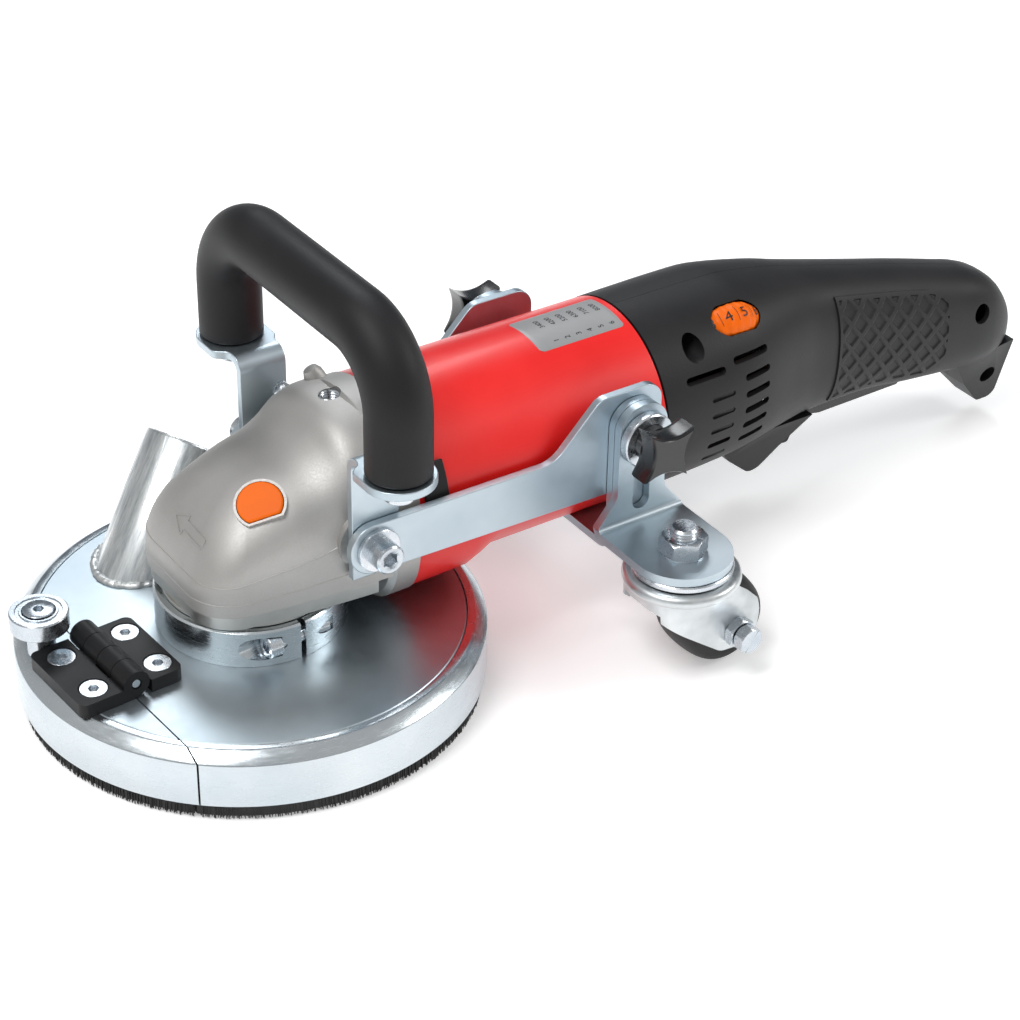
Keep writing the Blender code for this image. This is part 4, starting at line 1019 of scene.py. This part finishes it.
def trigger_paddle():
    px, pz = 352, 44
    paddle = [(298, 54, 0), (298, 39, 3), (305, 37.6, 4), (px + 3, pz - 6, 2)]
    paddle += [(px + 3.5, pz + 3.5, 2), (330, 54, 0)]
    return cut(prism(rounded(paddle, 10), -10, 10, "Y"), cylinder(1.6, -20, 20, "Y", (px, pz), 24))


def tail():
    for word, low, high in (("left", -80, -0.08), ("right", 0.08, 80)):
        stand_in(f"tail_shell_{word}", tail_shell(low, high), "machine", BLACK, 0.5, 3)
        piece(f"grip_pads_{word}", grip_pad() if low < 0 else mirrored(grip_pad()), "machine", BLACK)
    piece("screw_well", screw_well(), "machine", BLACK, 0.2)
    stand_in("speed_dial", dial_wheel(), "dial", ORANGE)
    piece("dial_digits", dial_digits(), "dial", INK)
    stand_in("trigger", trigger_paddle(), "trigger", GLOSSY, 1.2, 4)
    lever = [(284, 24.5, 2), (290, 24, 2), (295.5, 34, 2), (295, 40.5, 2), (287.5, 40, 2)]
    stand_in("lock_off_lever", prism(rounded(lever, 8), -6, 6, "Y"), "lock_lever", BLACK, 0.6, 3)
    gland = [(3.6, 404), (8.5, 404), (8.5, 409), (5.2, 409), (5.2, 425.4), (4.6, 426), (3.6, 426)]
    gland = moved(turned(gland, 64, "X"), (0, *CABLE_AT))
    stand_in("cable_inlet", gland, "machine", RUBBER, 0.2)


# Bow handle and side arms
HANDLE_X, HANDLE_Y, HANDLE_R = 32.5, 67.9, 13.9
HANDLE_FOOT, HANDLE_TOP, HANDLE_BEND = 127, 183, 30
PLATE_X, BRACKET_T = 34, 3.7
ARM_IN, ARM_T = 47.5, 4
BRACE_IN, BRACE_T, BRACE_BOTTOM = 51.8, 3.8, 39.6
MOUNT_IN, MOUNT_T, MOUNT_X = 55.9, 4, 160.5
MOUNT_HALF, TAB_HALF, TAB_TOP, MOUNT_TOP = 12.5, 22.4, 56.4, 113.3
SLOT_BOTTOM, SLOT_TOP, SLOT_R = 61.3, 106.6, 4.4
KNOB_Z = 97.5


def handle_ring(point, ahead, radius):
    across = Vector((1, 0, 0))
    other = ahead.cross(across).normalized()
    return [point + (across * math.cos(t) + other * math.sin(t)) * radius for t in turns(72)]


def handle_rings():
    """Sections along the bow, each end rounded over at its rim."""
    centre_y, bend_z = HANDLE_Y - HANDLE_BEND, HANDLE_TOP - HANDLE_BEND
    heights = [GAP] + [(bend_z - HANDLE_FOOT) * k / 8 for k in range(1, 8)]
    near = [Vector((HANDLE_X, -HANDLE_Y, HANDLE_FOOT + rise)) for rise in heights]
    for k in range(25):
        t = math.radians(3.75 * k)
        y, z = centre_y + HANDLE_BEND * math.cos(t), bend_z + HANDLE_BEND * math.sin(t)
        near.append(Vector((HANDLE_X, -y, z)))
    path = near + [Vector((p.x, -p.y, p.z)) for p in near[::-1]]
    rings = []
    last = len(path) - 1
    for i, point in enumerate(path):
        ahead = (path[min(i + 1, last)] - path[max(i - 1, 0)]).normalized()
        if i not in (0, last):
            rings.append(handle_ring(point, ahead, HANDLE_R))
            continue
        inward = ahead if i == 0 else -ahead
        ends = []
        for k in range(7):
            a = math.radians(15 * k)
            place = point + inward * 1.6 * (1 - math.cos(a))
            ends.append(handle_ring(place, ahead, HANDLE_R - 1.6 * (1 - math.sin(a))))
        rings += ends if i == 0 else ends[::-1]
    return rings


def bent_strip(corners, thickness, bend, low, high, steps=14):
    bends = [0] + [bend] * (len(corners) - 2) + [0]
    outer = rounded([(y, z, radius) for (y, z), radius in zip(corners, bends)], steps)
    inner = []
    for i, point in enumerate(outer):
        along = (Vector(outer[min(i + 1, len(outer) - 1)]) - Vector(outer[max(i - 1, 0)])).normalized()
        inner.append((point[0] - along.y * thickness, point[1] + along.x * thickness))
    return prism(outer + inner[::-1], low, high, "X")


def handle_bracket():
    line = [(-BRACKET_IN, 66.5), (-BRACKET_IN, HANDLE_FOOT), (-HANDLE_Y - 16, HANDLE_FOOT)]
    strip = bent_strip(line, BRACKET_T, 7, 10, 60)
    end, half, wide = -HANDLE_Y - 15.5, 11.2, 15.5
    near = [(PLATE_X - half, -30, 0), (PLATE_X - half, -53, 4), (HANDLE_X - wide, -57, 4)]
    far = [(HANDLE_X + wide, -57, 4), (PLATE_X + half, -53, 4), (PLATE_X + half, -30, 0)]
    foot = rounded(near + [(HANDLE_X - wide, end, 15.3), (HANDLE_X + wide, end, 15.3)] + far, 16)
    return cut(
        common(strip, prism(foot, 50, 140)), cylinder(4.3, -70, -30, "Y", ARM_BOLT, 40),
        cylinder(4.3, 110, 140, centre=(HANDLE_X, -HANDLE_Y), count=40),
    )


def side_arm():
    low = [(19.6, 70.6, 11.2), (176, 67.6, 4), (176, 116.8, 9)]
    high = [(143.5, 116.8, 9), (120, 93, 14), (19.6, 93.6, 11.2)]
    return cut(
        prism(rounded(low + high, 16), -ARM_IN - ARM_T, -ARM_IN, "Y"),
        cylinder(4.3, -70, -30, "Y", ARM_BOLT, 40), cylinder(4.3, -70, -30, "Y", (MOUNT_X, KNOB_Z), 40),
    )


def cap_screw(head_r, head_h, shank_r, shank, washer_r=0, washer_t=0):
    head = [(0, 0), (head_r, 0), (head_r, head_h - 0.7), (head_r - 0.7, head_h), (0, head_h)]
    screw = join(turned(head, 64), cylinder(shank_r, -shank, 0.5, count=40))
    if washer_r:
        rim = [(washer_r, 0), (washer_r, washer_t - 0.3), (washer_r - 0.3, washer_t)]
        screw = join(screw, turned([(0, 0)] + rim + [(0, washer_t)], 72))
    socket = prism(hexagon(head_r * 0.95), head_h * 0.45, head_h + 1)
    low, high = head_h - 0.7, head_h + 0.1
    cone = turned([(0, low), (head_r * 0.5, low), (head_r * 0.66, high), (0, high)], 48)
    return cut(screw, socket, cone)


def arm_bolt():
    bolt = cap_screw(6.5, 10.5, 4, 22, 9.8, 2.2)
    return moved(bolt, (ARM_BOLT[0], -ARM_IN - ARM_T - 0.1, ARM_BOLT[1]), toward((0, -1, 0)))


def handle_bolt():
    bolt = cap_screw(6.5, 8, 4, BRACKET_T + GAP * 2)
    at = (HANDLE_X, -HANDLE_Y, HANDLE_FOOT - BRACKET_T - 0.1)
    return moved(bolt, at, toward((0, 0, -1)))


def handle():
    bow = skin(handle_rings())
    for y in (-HANDLE_Y, HANDLE_Y):
        bow = cut(bow, cylinder(4.6, 120, 140, centre=(HANDLE_X, y), count=40))
    stand_in("bow_handle", bow, "machine", RUBBER)
    both_sides("handle_bracket", handle_bracket, "machine", ZINC, 0.5, 3)
    both_sides("handle_bolt", handle_bolt, "machine", STEEL, 0.2)
    both_sides("side_arm", side_arm, "machine", ZINC, 0.5, 3)
    both_sides("arm_bolt", arm_bolt, "machine", STEEL, 0.2)


# Chassis
CASTER_Y, CASTER_TRAIL, TYRE_R, TYRE_HALF = 91, 16, 21, 15
SWIVEL_R = 26
CASTER_AT = (MOUNT_X, -CASTER_Y, 0)
WHEEL_AT = (MOUNT_X + CASTER_TRAIL, -CASTER_Y, TYRE_R)


def mount_front(half_low):
    """The front outline that the brace and both caster brackets share: an upright on a wider foot."""
    half = [
        (half_low, 30, 0), (half_low, TAB_TOP + 1, 2), (MOUNT_HALF, TAB_TOP + 13, 9),
        (MOUNT_HALF, MOUNT_TOP, 11.5),
    ]
    front, rear = [(MOUNT_X + x, z, r) for x, z, r in half], [(MOUNT_X - x, z, r) for x, z, r in half]
    return rounded(front + rear[::-1], 14)


def cross_brace():
    outer, top = BRACE_IN + BRACE_T, MOUNT_TOP + 5
    line = [(-outer, top), (-outer, BRACE_BOTTOM), (outer, BRACE_BOTTOM), (outer, top)]
    strip = bent_strip(line, BRACE_T, 9, MOUNT_X - MOUNT_HALF, MOUNT_X + MOUNT_HALF)
    strip = common(strip, prism(mount_front(MOUNT_HALF + 0.01), -80, 80, "Y"))
    return cut(strip, cylinder(4.3, -80, 80, "Y", (MOUNT_X, KNOB_Z), 40))


def caster_bracket():
    outer, end = MOUNT_IN + MOUNT_T, 90 + TAB_HALF
    line = [(-MOUNT_IN, MOUNT_TOP + 5), (-MOUNT_IN, TAB_TOP - MOUNT_T), (-end, TAB_TOP - MOUNT_T)]
    strip = bent_strip(line, -MOUNT_T, 6.5, MOUNT_X - TAB_HALF, MOUNT_X + TAB_HALF)
    low, high, corner = MOUNT_X - TAB_HALF, MOUNT_X + TAB_HALF, TAB_HALF - 0.2
    plan = rounded([(low, -40, 0), (low, -end, corner), (high, -end, corner), (high, -40, 0)], 28)
    strip = common(strip, prism(mount_front(TAB_HALF + 0.01), -130, -40, "Y"), prism(plan, 20, 130))
    low, high, radius = MOUNT_X - SLOT_R, MOUNT_X + SLOT_R, SLOT_R - 0.01
    slot = [(low, SLOT_BOTTOM), (high, SLOT_BOTTOM), (high, SLOT_TOP), (low, SLOT_TOP)]
    return cut(
        strip, prism(rounded([(x, z, radius) for x, z in slot], 14), -outer - 10, -MOUNT_IN + 5, "Y"),
        cylinder(6.3, 40, 70, centre=(MOUNT_X, -CASTER_Y), count=48),
    )


def knob_radius(turn):
    """The star's outline: four hollow arcs that meet in its tips."""
    arc_at, arc_r = 29, 20.8
    off = (turn + math.pi / 4) % (math.pi / 2) - math.pi / 4
    return arc_at * math.cos(off) - math.sqrt(arc_r**2 - (arc_at * math.sin(off)) ** 2)


def star_knob():
    """Four pointed lobes with hollow flanks, rounded over at the rim, on a plain hub."""
    face = -MOUNT_IN - MOUNT_T - 0.2
    rings = []
    for depth, share in ((-8, 0.93), (-8.6, 0.98), (-10, 1), (-17, 1), (-18.4, 0.97), (-19, 0.9)):
        ring = []
        for t in turns(144):
            radius = min(knob_radius(t), 16.2) * share
            turn = t - math.radians(6)
            ring.append(
                (MOUNT_X + radius * math.cos(turn), face + depth, KNOB_Z + radius * math.sin(turn)),
            )
        rings.append(ring)
    hub = turned([(0, -9), (8.6, -9), (8, -4), (8, 0), (0, 0)], 64, "Y")
    return join(skin(rings), moved(hub, (MOUNT_X, face, KNOB_Z)))


def knob_washer():
    face = -MOUNT_IN - MOUNT_T - 0.15
    ring = [(8.2, -4.6), (12, -4.6), (12.6, -4), (12.6, -0.4), (12.2, 0), (8.2, 0)]
    return moved(turned(ring, 96, "Y"), (MOUNT_X, face, KNOB_Z))


def knob_stud():
    face = -MOUNT_IN - MOUNT_T
    profile = [(0, face - 2)]
    y = face - 2
    while y < -ARM_IN - 0.6:
        profile += [(3.95, y), (3.95, y + 0.25), (3.45, y + 0.62), (3.95, y + 1)]
        y += 1.25
    return moved(turned(profile + [(3.4, y), (0, y)], 48, "Y"), (MOUNT_X, 0, KNOB_Z))


def hex_nut(across, low, high, hole=0):
    """A nut with its corners turned off at both ends."""
    reach = across / math.sqrt(3)
    cap = [
        (0, low), (across / 2, low), (reach + 0.1, low + 1.2), (reach + 0.1, high - 1.2),
        (across / 2, high),
    ]
    nut = common(prism(hexagon(across), low, high), turned(cap + [(0, high)], 72))
    return cut(nut, cylinder(hole, low - 1, high + 1, count=48)) if hole else nut


def threaded(radius, low, high, pitch=1.5):
    profile = [(0, low), (radius, low)]
    z = low + 0.3
    while z < high - pitch:
        profile += [(radius, z), (radius - 0.62, z + pitch * 0.5), (radius, z + pitch * 0.98)]
        z += pitch
    return turned(profile + [(radius, high - 0.9), (radius - 0.9, high), (0, high)], 72)


def caster_stud():
    under = TAB_TOP - MOUNT_T - 0.2
    race = [(0, 42.6), (9, 42.6), (9, 44.6), (6, 44.6), (6, 49.2), (21.6, 49.2), (22.5, 49.9)]
    race += [(22.5, under - 0.5), (22, under), (6, under), (6, under + 3), (0, under + 3)]
    stud = join(turned(race, 128), threaded(6, under - 1, TAB_TOP + 13))
    nut = hex_nut(18.6, TAB_TOP + 0.1, TAB_TOP + 8.6)
    low, high = TAB_TOP + 0.05, TAB_TOP + 0.8
    washer = turned([(0, low), (9.9, low), (9.9, high), (0, high)], 72)
    return moved(join(stud, nut, washer), CASTER_AT)


def fork_shell(inset, top):
    rings = []
    for z, centre, half_x, half_y, power in (
        (8, 9, 27.5, 20, 8), (24, 8, 27, 20, 7), (32, 5.5, 26, 20.6, 5), (38, 2.6, 24.8, 22, 3.2),
        (42, 0.8, 24, 23.2, 2.2), (top, 0, 24, 24, 2),
    ):
        section = superellipse(0, 0, half_x - inset, half_y - inset, power, 128)
        rings.append([(centre + y, w, z) for _, y, w in section])
    return skin(rings)


def caster_fork():
    """A pressed fork: a skirt that hangs from the swivel and runs down to both cheeks."""
    skirt = cut(fork_shell(0, 46), fork_shell(2.4, 45.2))
    side = [(-30, 46.4, 0), (-26, 38, 4), (8, 12.5, 9)]
    side += [(26.5, 11, 7), (29, 27, 5), (29, 46.4, 0)]
    skirt = common(skirt, prism(rounded(side, 12), -40, 40, "Y"))
    skirt = cut(skirt, box((9, -17.55, 0), (60, 17.55, 43.5)), box((-60, -13, 0), (0, 13, 37.5)))
    return moved(skirt, CASTER_AT)


def caster_cup():
    """The rolled cup round the swivel's bearing."""
    cup = [(6.3, 45), (22, 45), (22.8, 43.6)]
    for k in range(13):
        t = math.radians(-90 + 15 * k)
        cup.append((SWIVEL_R - 2.9 + 2.9 * math.cos(t), 45.6 + 2.9 * math.sin(t)))
    return moved(turned(cup + [(21.9, 48.7), (21.5, 47.6), (6.3, 47.6)], 144), CASTER_AT)


def caster_axle():
    """The wheel's bolt: its head and a lock nut outside the near cheek, a nut outside the far one."""
    x, z = CASTER_TRAIL, TYRE_R
    near, far = toward((0, -1, 0)), toward((0, 1, 0))
    head = moved(hex_nut(11, 0, 5.6), (x, -25.4, z), near)
    inner = moved(hex_nut(12.6, 0, 4.9), (x, -20.1, z), near)
    nut = moved(hex_nut(11, 0, 6.6), (x, 20.1, z), far)
    return moved(join(cylinder(3.5, -30, 26, "Y", (x, z), 40), head, inner, nut), CASTER_AT)


def caster_wheel():
    half, crown = TYRE_HALF, TYRE_R - 6
    tyre = [(8, -half + 3.2), (11.4, -half + 3.2), (12.6, -half + 0.4), (crown, -half)]
    for k in range(17):
        t = math.radians(-80 + 10 * k)
        tyre.append((crown + 6 * max(math.cos(t), 0) ** 0.62, half * math.sin(t)))
    tyre += [(crown, half), (12.6, half - 0.4), (11.4, half - 3.2), (8, half - 3.2)]
    return moved(turned(tyre, 144, "Y"), WHEEL_AT)


def caster_hub():
    half = TYRE_HALF
    hub = [
        (3.8, -half - 1.6), (6.6, -half - 1.6), (7, -half - 1.2), (8.2, -half + 3.4), (8.2, half - 3.4),
    ]
    hub += [(7, half + 1.2), (6.6, half + 1.6), (3.8, half + 1.6)]
    return moved(turned(hub, 96, "Y"), WHEEL_AT)


def chassis():
    stand_in("cross_brace", cross_brace(), "machine", ZINC, 0.5, 3)
    both_sides("caster_bracket", caster_bracket, "bracket", ZINC, 0.5, 3)
    both_sides("star_knob", star_knob, "knob", GLOSSY, 0.4, 3)
    both_sides("caster_stud", caster_stud, "bracket", STEEL, 0.15)
    both_sides("knob_washer", knob_washer, "knob", STEEL, 0.1, has_node=False)
    both_sides("knob_stud", knob_stud, "knob", STEEL, has_node=False)
    both_sides("caster_fork", caster_fork, "fork", FORK, 0.4)
    both_sides("caster_cup", caster_cup, "fork", FORK, has_node=False)
    both_sides("caster_axle", caster_axle, "fork", STEEL, 0.15, has_node=False)
    both_sides("caster_wheel", caster_wheel, "wheel", TREAD)
    both_sides("caster_hub", caster_hub, "wheel", GLOSSY, 0.2, has_node=False)


# Small marks laid on curved surfaces
CASE_SCREWS = (
    ((47, -37, 49.4), (-0.4, -0.6, -0.4)), ((47, 37, 49.4), (-0.4, 0.6, -0.4)),
    ((34, 30, 117), (-0.7, 0.3, 0.6)),
)


def laid_on(shape, origin, u_axis, v_axis, target, lift):
    """Drops a flat mesh drawn in (u, v) onto a surface along the normal of its plane."""
    origin, u_axis, v_axis = Vector(origin), Vector(u_axis).normalized(), Vector(v_axis).normalized()
    normal = u_axis.cross(v_axis).normalized()
    for vert in shape.verts:
        start = origin + u_axis * vert.co.x + v_axis * vert.co.y + normal * 40
        hit = target.ray_cast(start, -normal)[0]
        vert.co = (hit if hit else start - normal * 40) + normal * (lift + vert.co.z)
    return shape


def outline_band(points, width, height):
    """A raised band with a flat top along a closed outline."""
    count = len(points)
    shape = bmesh.new()
    rows = []
    for i, point in enumerate(points):
        ahead = (Vector(points[(i + 1) % count]) - Vector(points[i - 1])).normalized()
        out = Vector((ahead.y, -ahead.x))
        here = Vector(point)
        row = []
        for shift, rise in ((width, -0.5), (width * 0.5, height), (-width * 0.5, height), (-width, -0.5)):
            place = here + out * shift
            row.append(shape.verts.new((place.x, place.y, rise)))
        rows.append(row)
    for here, there in zip(rows, rows[1:] + rows[:1]):
        for k in range(3):
            shape.faces.new((here[k], there[k], there[k + 1], here[k + 1]))
    return shape


def dense(points, step):
    """The closed outline with extra points along its straight runs."""
    result = []
    for here, there in zip(points, points[1:] + points[:1]):
        count = max(1, int((Vector(there) - Vector(here)).length / step))
        for k in range(count):
            result.append(tuple(Vector(here).lerp(Vector(there), k / count)))
    return result


def bead(points, radius):
    last = len(points) - 1
    rings = []
    for i, point in enumerate(points):
        ahead = (points[min(i + 1, last)] - points[max(i - 1, 0)]).normalized()
        side = ahead.cross(Vector((0, 0, 1))).normalized()
        up = side.cross(ahead)
        rings.append([point + side * math.cos(t) * radius + up * math.sin(t) * radius for t in turns(8)])
    return skin(rings)


def turning_arrow(target):
    """A raised outline of an arrow on the nose."""
    half = [(12.5, 0, 0.6), (3.5, 4.6, 0.5), (3.5, 2, 0.3), (-12.5, 2, 0.8)]
    arrow = rounded([(u, -v, r) for u, v, r in half[:0:-1]] + half, 3)
    band = outline_band(dense(arrow, 0.8), 0.45, 0.35)
    return laid_on(band, (-28.6, -3.6, 86.1), (0.03, 1, 0.04), (-0.69, 0, -0.72), target, 0)


def seam(target, heights, side, radius):
    """A thin raised line round one flank of the gear head."""
    points = []
    for x, y in head_half_outline(24):
        if x > 30:
            break
        out = Vector((x * 0.25 if x < 0 else 0, max(y, 0.2), 0)).normalized()
        out.y *= side
        start = Vector((x, y * side, smooth_rows(heights, x)[0])) + out * 30
        hit = target.ray_cast(start, -out)[0]
        if hit:
            points.append(hit)
    return bead(points, radius)


def top_thread():
    insert = [(5.2, 112.5), (5.2, 125.3), (4.7, 125.75)]
    z = 125.2
    while z > 113.5:
        insert += [(4.65, z), (4.1, z - 0.6)]
        z -= 1.2
    return moved(turned(insert + [(4.1, 112.5)], 64), (42, 1.5, 0))


def head_marks():
    surface = head_shell()
    target = BVHTree.FromBMesh(surface)
    surface.free()
    piece("turning_arrow", turning_arrow(target), "machine", CAST)
    seam_x = (-40, -28, -8, 14, 34, 50)
    for name, radius, heights in (
        ("upper_seam", 0.34, (72.6, 73.2, 76, 79.6, 86, 90)),
        ("lower_seam", 0.22, (64.4, 64.6, 65, 66, 67, 68)),
    ):
        for word, side in (("near", -1), ("far", 1)):
            line = seam(target, list(zip(seam_x, heights)), side, radius)
            piece(f"{name}_{word}", line, "machine", CAST)
    piece("top_thread", top_thread(), "machine", STEEL)
    lug = turned([(0, -16), (5.6, -16), (4.4, 4), (3.2, 6.4), (0, 7.4)], 48)
    piece("top_lug", moved(lug, (48, 22, 120.5), toward((-0.45, 0.3, 1))), "machine", CAST)
    for k, (at, out) in enumerate(CASE_SCREWS):
        piece(f"case_screw_{k}", small_screw(at, out), "machine", STEEL, 0.1)


LABEL_LOW, LABEL_HIGH = (137.5, -15.5), (182, 11)
SPEEDS = (3400, 4200, 5200, 6300, 7100, 8000)


def speed_label():
    """A plain grey plate on top of the sleeve."""
    (low_x, low_y), (high_x, high_y) = LABEL_LOW, LABEL_HIGH
    middle_x, middle_y = (low_x + high_x) / 2, (low_y + high_y) / 2
    corners = ((low_x, low_y), (high_x, low_y), (high_x, high_y), (low_x, high_y))
    outline = dense(rounded([(x, y, 2.2) for x, y in corners], 8), 1)
    sheet = bmesh.new()
    rings = []
    for share in (1, 0.985, 0.9, 0.75, 0.55, 0.35, 0.15):
        ring = []
        for x, y in outline:
            place = (middle_x + (x - middle_x) * share, middle_y + (y - middle_y) * share, 0)
            ring.append(sheet.verts.new(place))
        rings.append(ring)
    for here, there in zip(rings, rings[1:]):
        for i in range(len(here)):
            j = (i + 1) % len(here)
            sheet.faces.new((here[i], here[j], there[j], there[i]))
    sheet.faces.new(rings[-1])
    bmesh.ops.triangulate(sheet, faces=[f for f in sheet.faces if len(f.verts) > 4])
    for vert in sheet.verts:
        along = abs(vert.co.x - middle_x) / (high_x - low_x)
        across = abs(vert.co.y - middle_y) / (high_y - low_y)
        vert.co = on_sleeve(vert.co.x, vert.co.y, 0.02 if max(across, along) > 0.497 else 0.14)
    return sheet


def speed_numbers():
    """One row for each place of the dial: its number and the speed it stands for."""
    marks = []
    for row, speed in enumerate(SPEEDS):
        for text, y, size in ((str(row + 1), -11.6, 3.8), (str(speed), 2, 3.6)):
            shape = lettering(text, size)
            for vert in shape.verts:
                vert.co = on_sleeve(148 + 5.9 * row - vert.co.y, y + vert.co.x, 0.2)
            marks.append(shape)
    return merged(marks)


def label():
    piece("speed_label", speed_label(), "machine", LABEL)
    piece("speed_numbers", speed_numbers(), "machine", INK)


def on_sleeve(x, across, lift):
    turn = across / MOTOR_R
    return Vector((x, (MOTOR_R + lift) * math.sin(turn), MOTOR_Z + (MOTOR_R + lift) * math.cos(turn)))


# Pieces that stay as the CAD made them
def inner_pieces():
    for finish, names in (
        (STEEL, ("spindle", "output_gear", "pinion", "armature_shaft")),
        (CUP, ("armature_core", "stator", "clamp_nut", "cup_wheel")), (COPPER, ("commutator",)),
        (BLACK, ("motor_fan", "switch_module")),
    ):
        for name in names:
            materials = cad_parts[name].data.materials
            materials.clear()
            materials.append(finish)


def diamond_segments():
    """Two staggered circles of grinding segments under the cup wheel."""
    segments = []
    for i in range(24):
        for inner, outer, shift in ((72.5, 79.6, 0), (80.8, 88.2, 0.5)):
            angles = [math.radians(15 * (i + shift) + a) for a in (-5.6, -2.8, 0, 2.8, 5.6)]
            sector = [(inner * math.cos(t), inner * math.sin(t)) for t in angles]
            sector += [(outer * math.cos(t), outer * math.sin(t)) for t in angles[::-1]]
            segments.append(prism(sector, 0.25, 1.4))
    piece("diamond_segments", together(*segments), "spindle", GRIT, 0.1)


# Floor, light and camera
def floor():
    mesh = bpy.data.meshes.new("floor")
    reach = 40
    corners = [(-reach, -reach, 0), (reach, -reach, 0), (reach, reach, 0), (-reach, reach, 0)]
    mesh.from_pydata(corners, [], [(0, 1, 2, 3)])
    made = bpy.data.objects.new("floor", mesh)
    made.location.z = -0.0004
    n = Nodes("pale_floor")
    n.set(
        Base_Color=n.tint(n.noise(1.5, 2), [(0.3, (0.92, 0.92, 0.925)), (0.7, (0.94, 0.94, 0.94))]),
        Roughness=n.remap(n.noise(6), 0.75, 0.85), Specular_IOR_Level=0.1, Emission_Color=(1, 1, 1, 1),
        Emission_Strength=0.34,
    )
    mesh.materials.append(n.material)
    link(made)


def lamps():
    for name, place, size, power, colour in (
        ("key", (-1, -0.2, 1.9), 0.8, 22, (1, 1, 1)),
        ("back", (0.7, 1.5, 1.9), 0.9, 16, (0.95, 0.98, 1)),
        ("side", (1.7, -1, 1.3), 0.7, 12, (1, 0.99, 0.97)),
    ):
        lamp = bpy.data.lights.new(name, "AREA")
        lamp.size = size
        lamp.energy = power
        lamp.color = colour
        holder = bpy.data.objects.new(name, lamp)
        holder.location = place
        aim = Vector((0, 0, 0.06)) - Vector(place)
        holder.rotation_euler = aim.to_track_quat("-Z", "Y").to_euler()
        link(holder)


def studio():
    """A white surround with a darker patch behind the part, which the bright plates mirror."""
    world = bpy.data.worlds.new("studio")
    world.use_nodes = True
    tree = world.node_tree
    sky = tree.nodes["Background"]
    place = tree.nodes.new("ShaderNodeTexCoord")
    toward_back = tree.nodes.new("ShaderNodeVectorMath")
    toward_back.operation = "DOT_PRODUCT"
    toward_back.inputs[1].default_value = (0.50, 0.72, 0.48)
    tree.links.new(place.outputs["Generated"], toward_back.inputs[0])
    ramp = tree.nodes.new("ShaderNodeValToRGB")
    stops = ((0.55, (1, 1, 1, 1)), (0.95, (0.28, 0.32, 0.37, 1)))
    for element, (position, colour) in zip(ramp.color_ramp.elements, stops):
        element.position = position
        element.color = colour
    tree.links.new(toward_back.outputs["Value"], ramp.inputs["Fac"])
    tree.links.new(ramp.outputs["Color"], sky.inputs["Color"])
    sky.inputs["Strength"].default_value = 0.5
    bpy.context.scene.world = world
    bpy.context.scene.view_settings.view_transform = "Standard"


def photo_view():
    camera = bpy.data.cameras.new("photo_view")
    camera.lens = 92.98
    camera.sensor_width = 36
    holder = bpy.data.objects.new("photo_view", camera)
    right = (0.82825, -0.56014, 0.01599)
    up = (0.29458, 0.45950, 0.83790)
    back = (-0.47669, -0.68928, 0.54559)
    turn = Matrix((right, up, back)).transposed().to_4x4()
    holder.matrix_world = Matrix.Translation((-0.59488, -0.81772, 0.68421)) @ turn
    link(holder)
    bpy.context.scene.camera = holder


for build in (
    shroud, dust_port, collar, hinge, roller, gear_head, bearing_flange, motor, tail, handle, chassis,
    head_marks, label, inner_pieces, diamond_segments, floor, lamps, studio, photo_view,
):
    build()
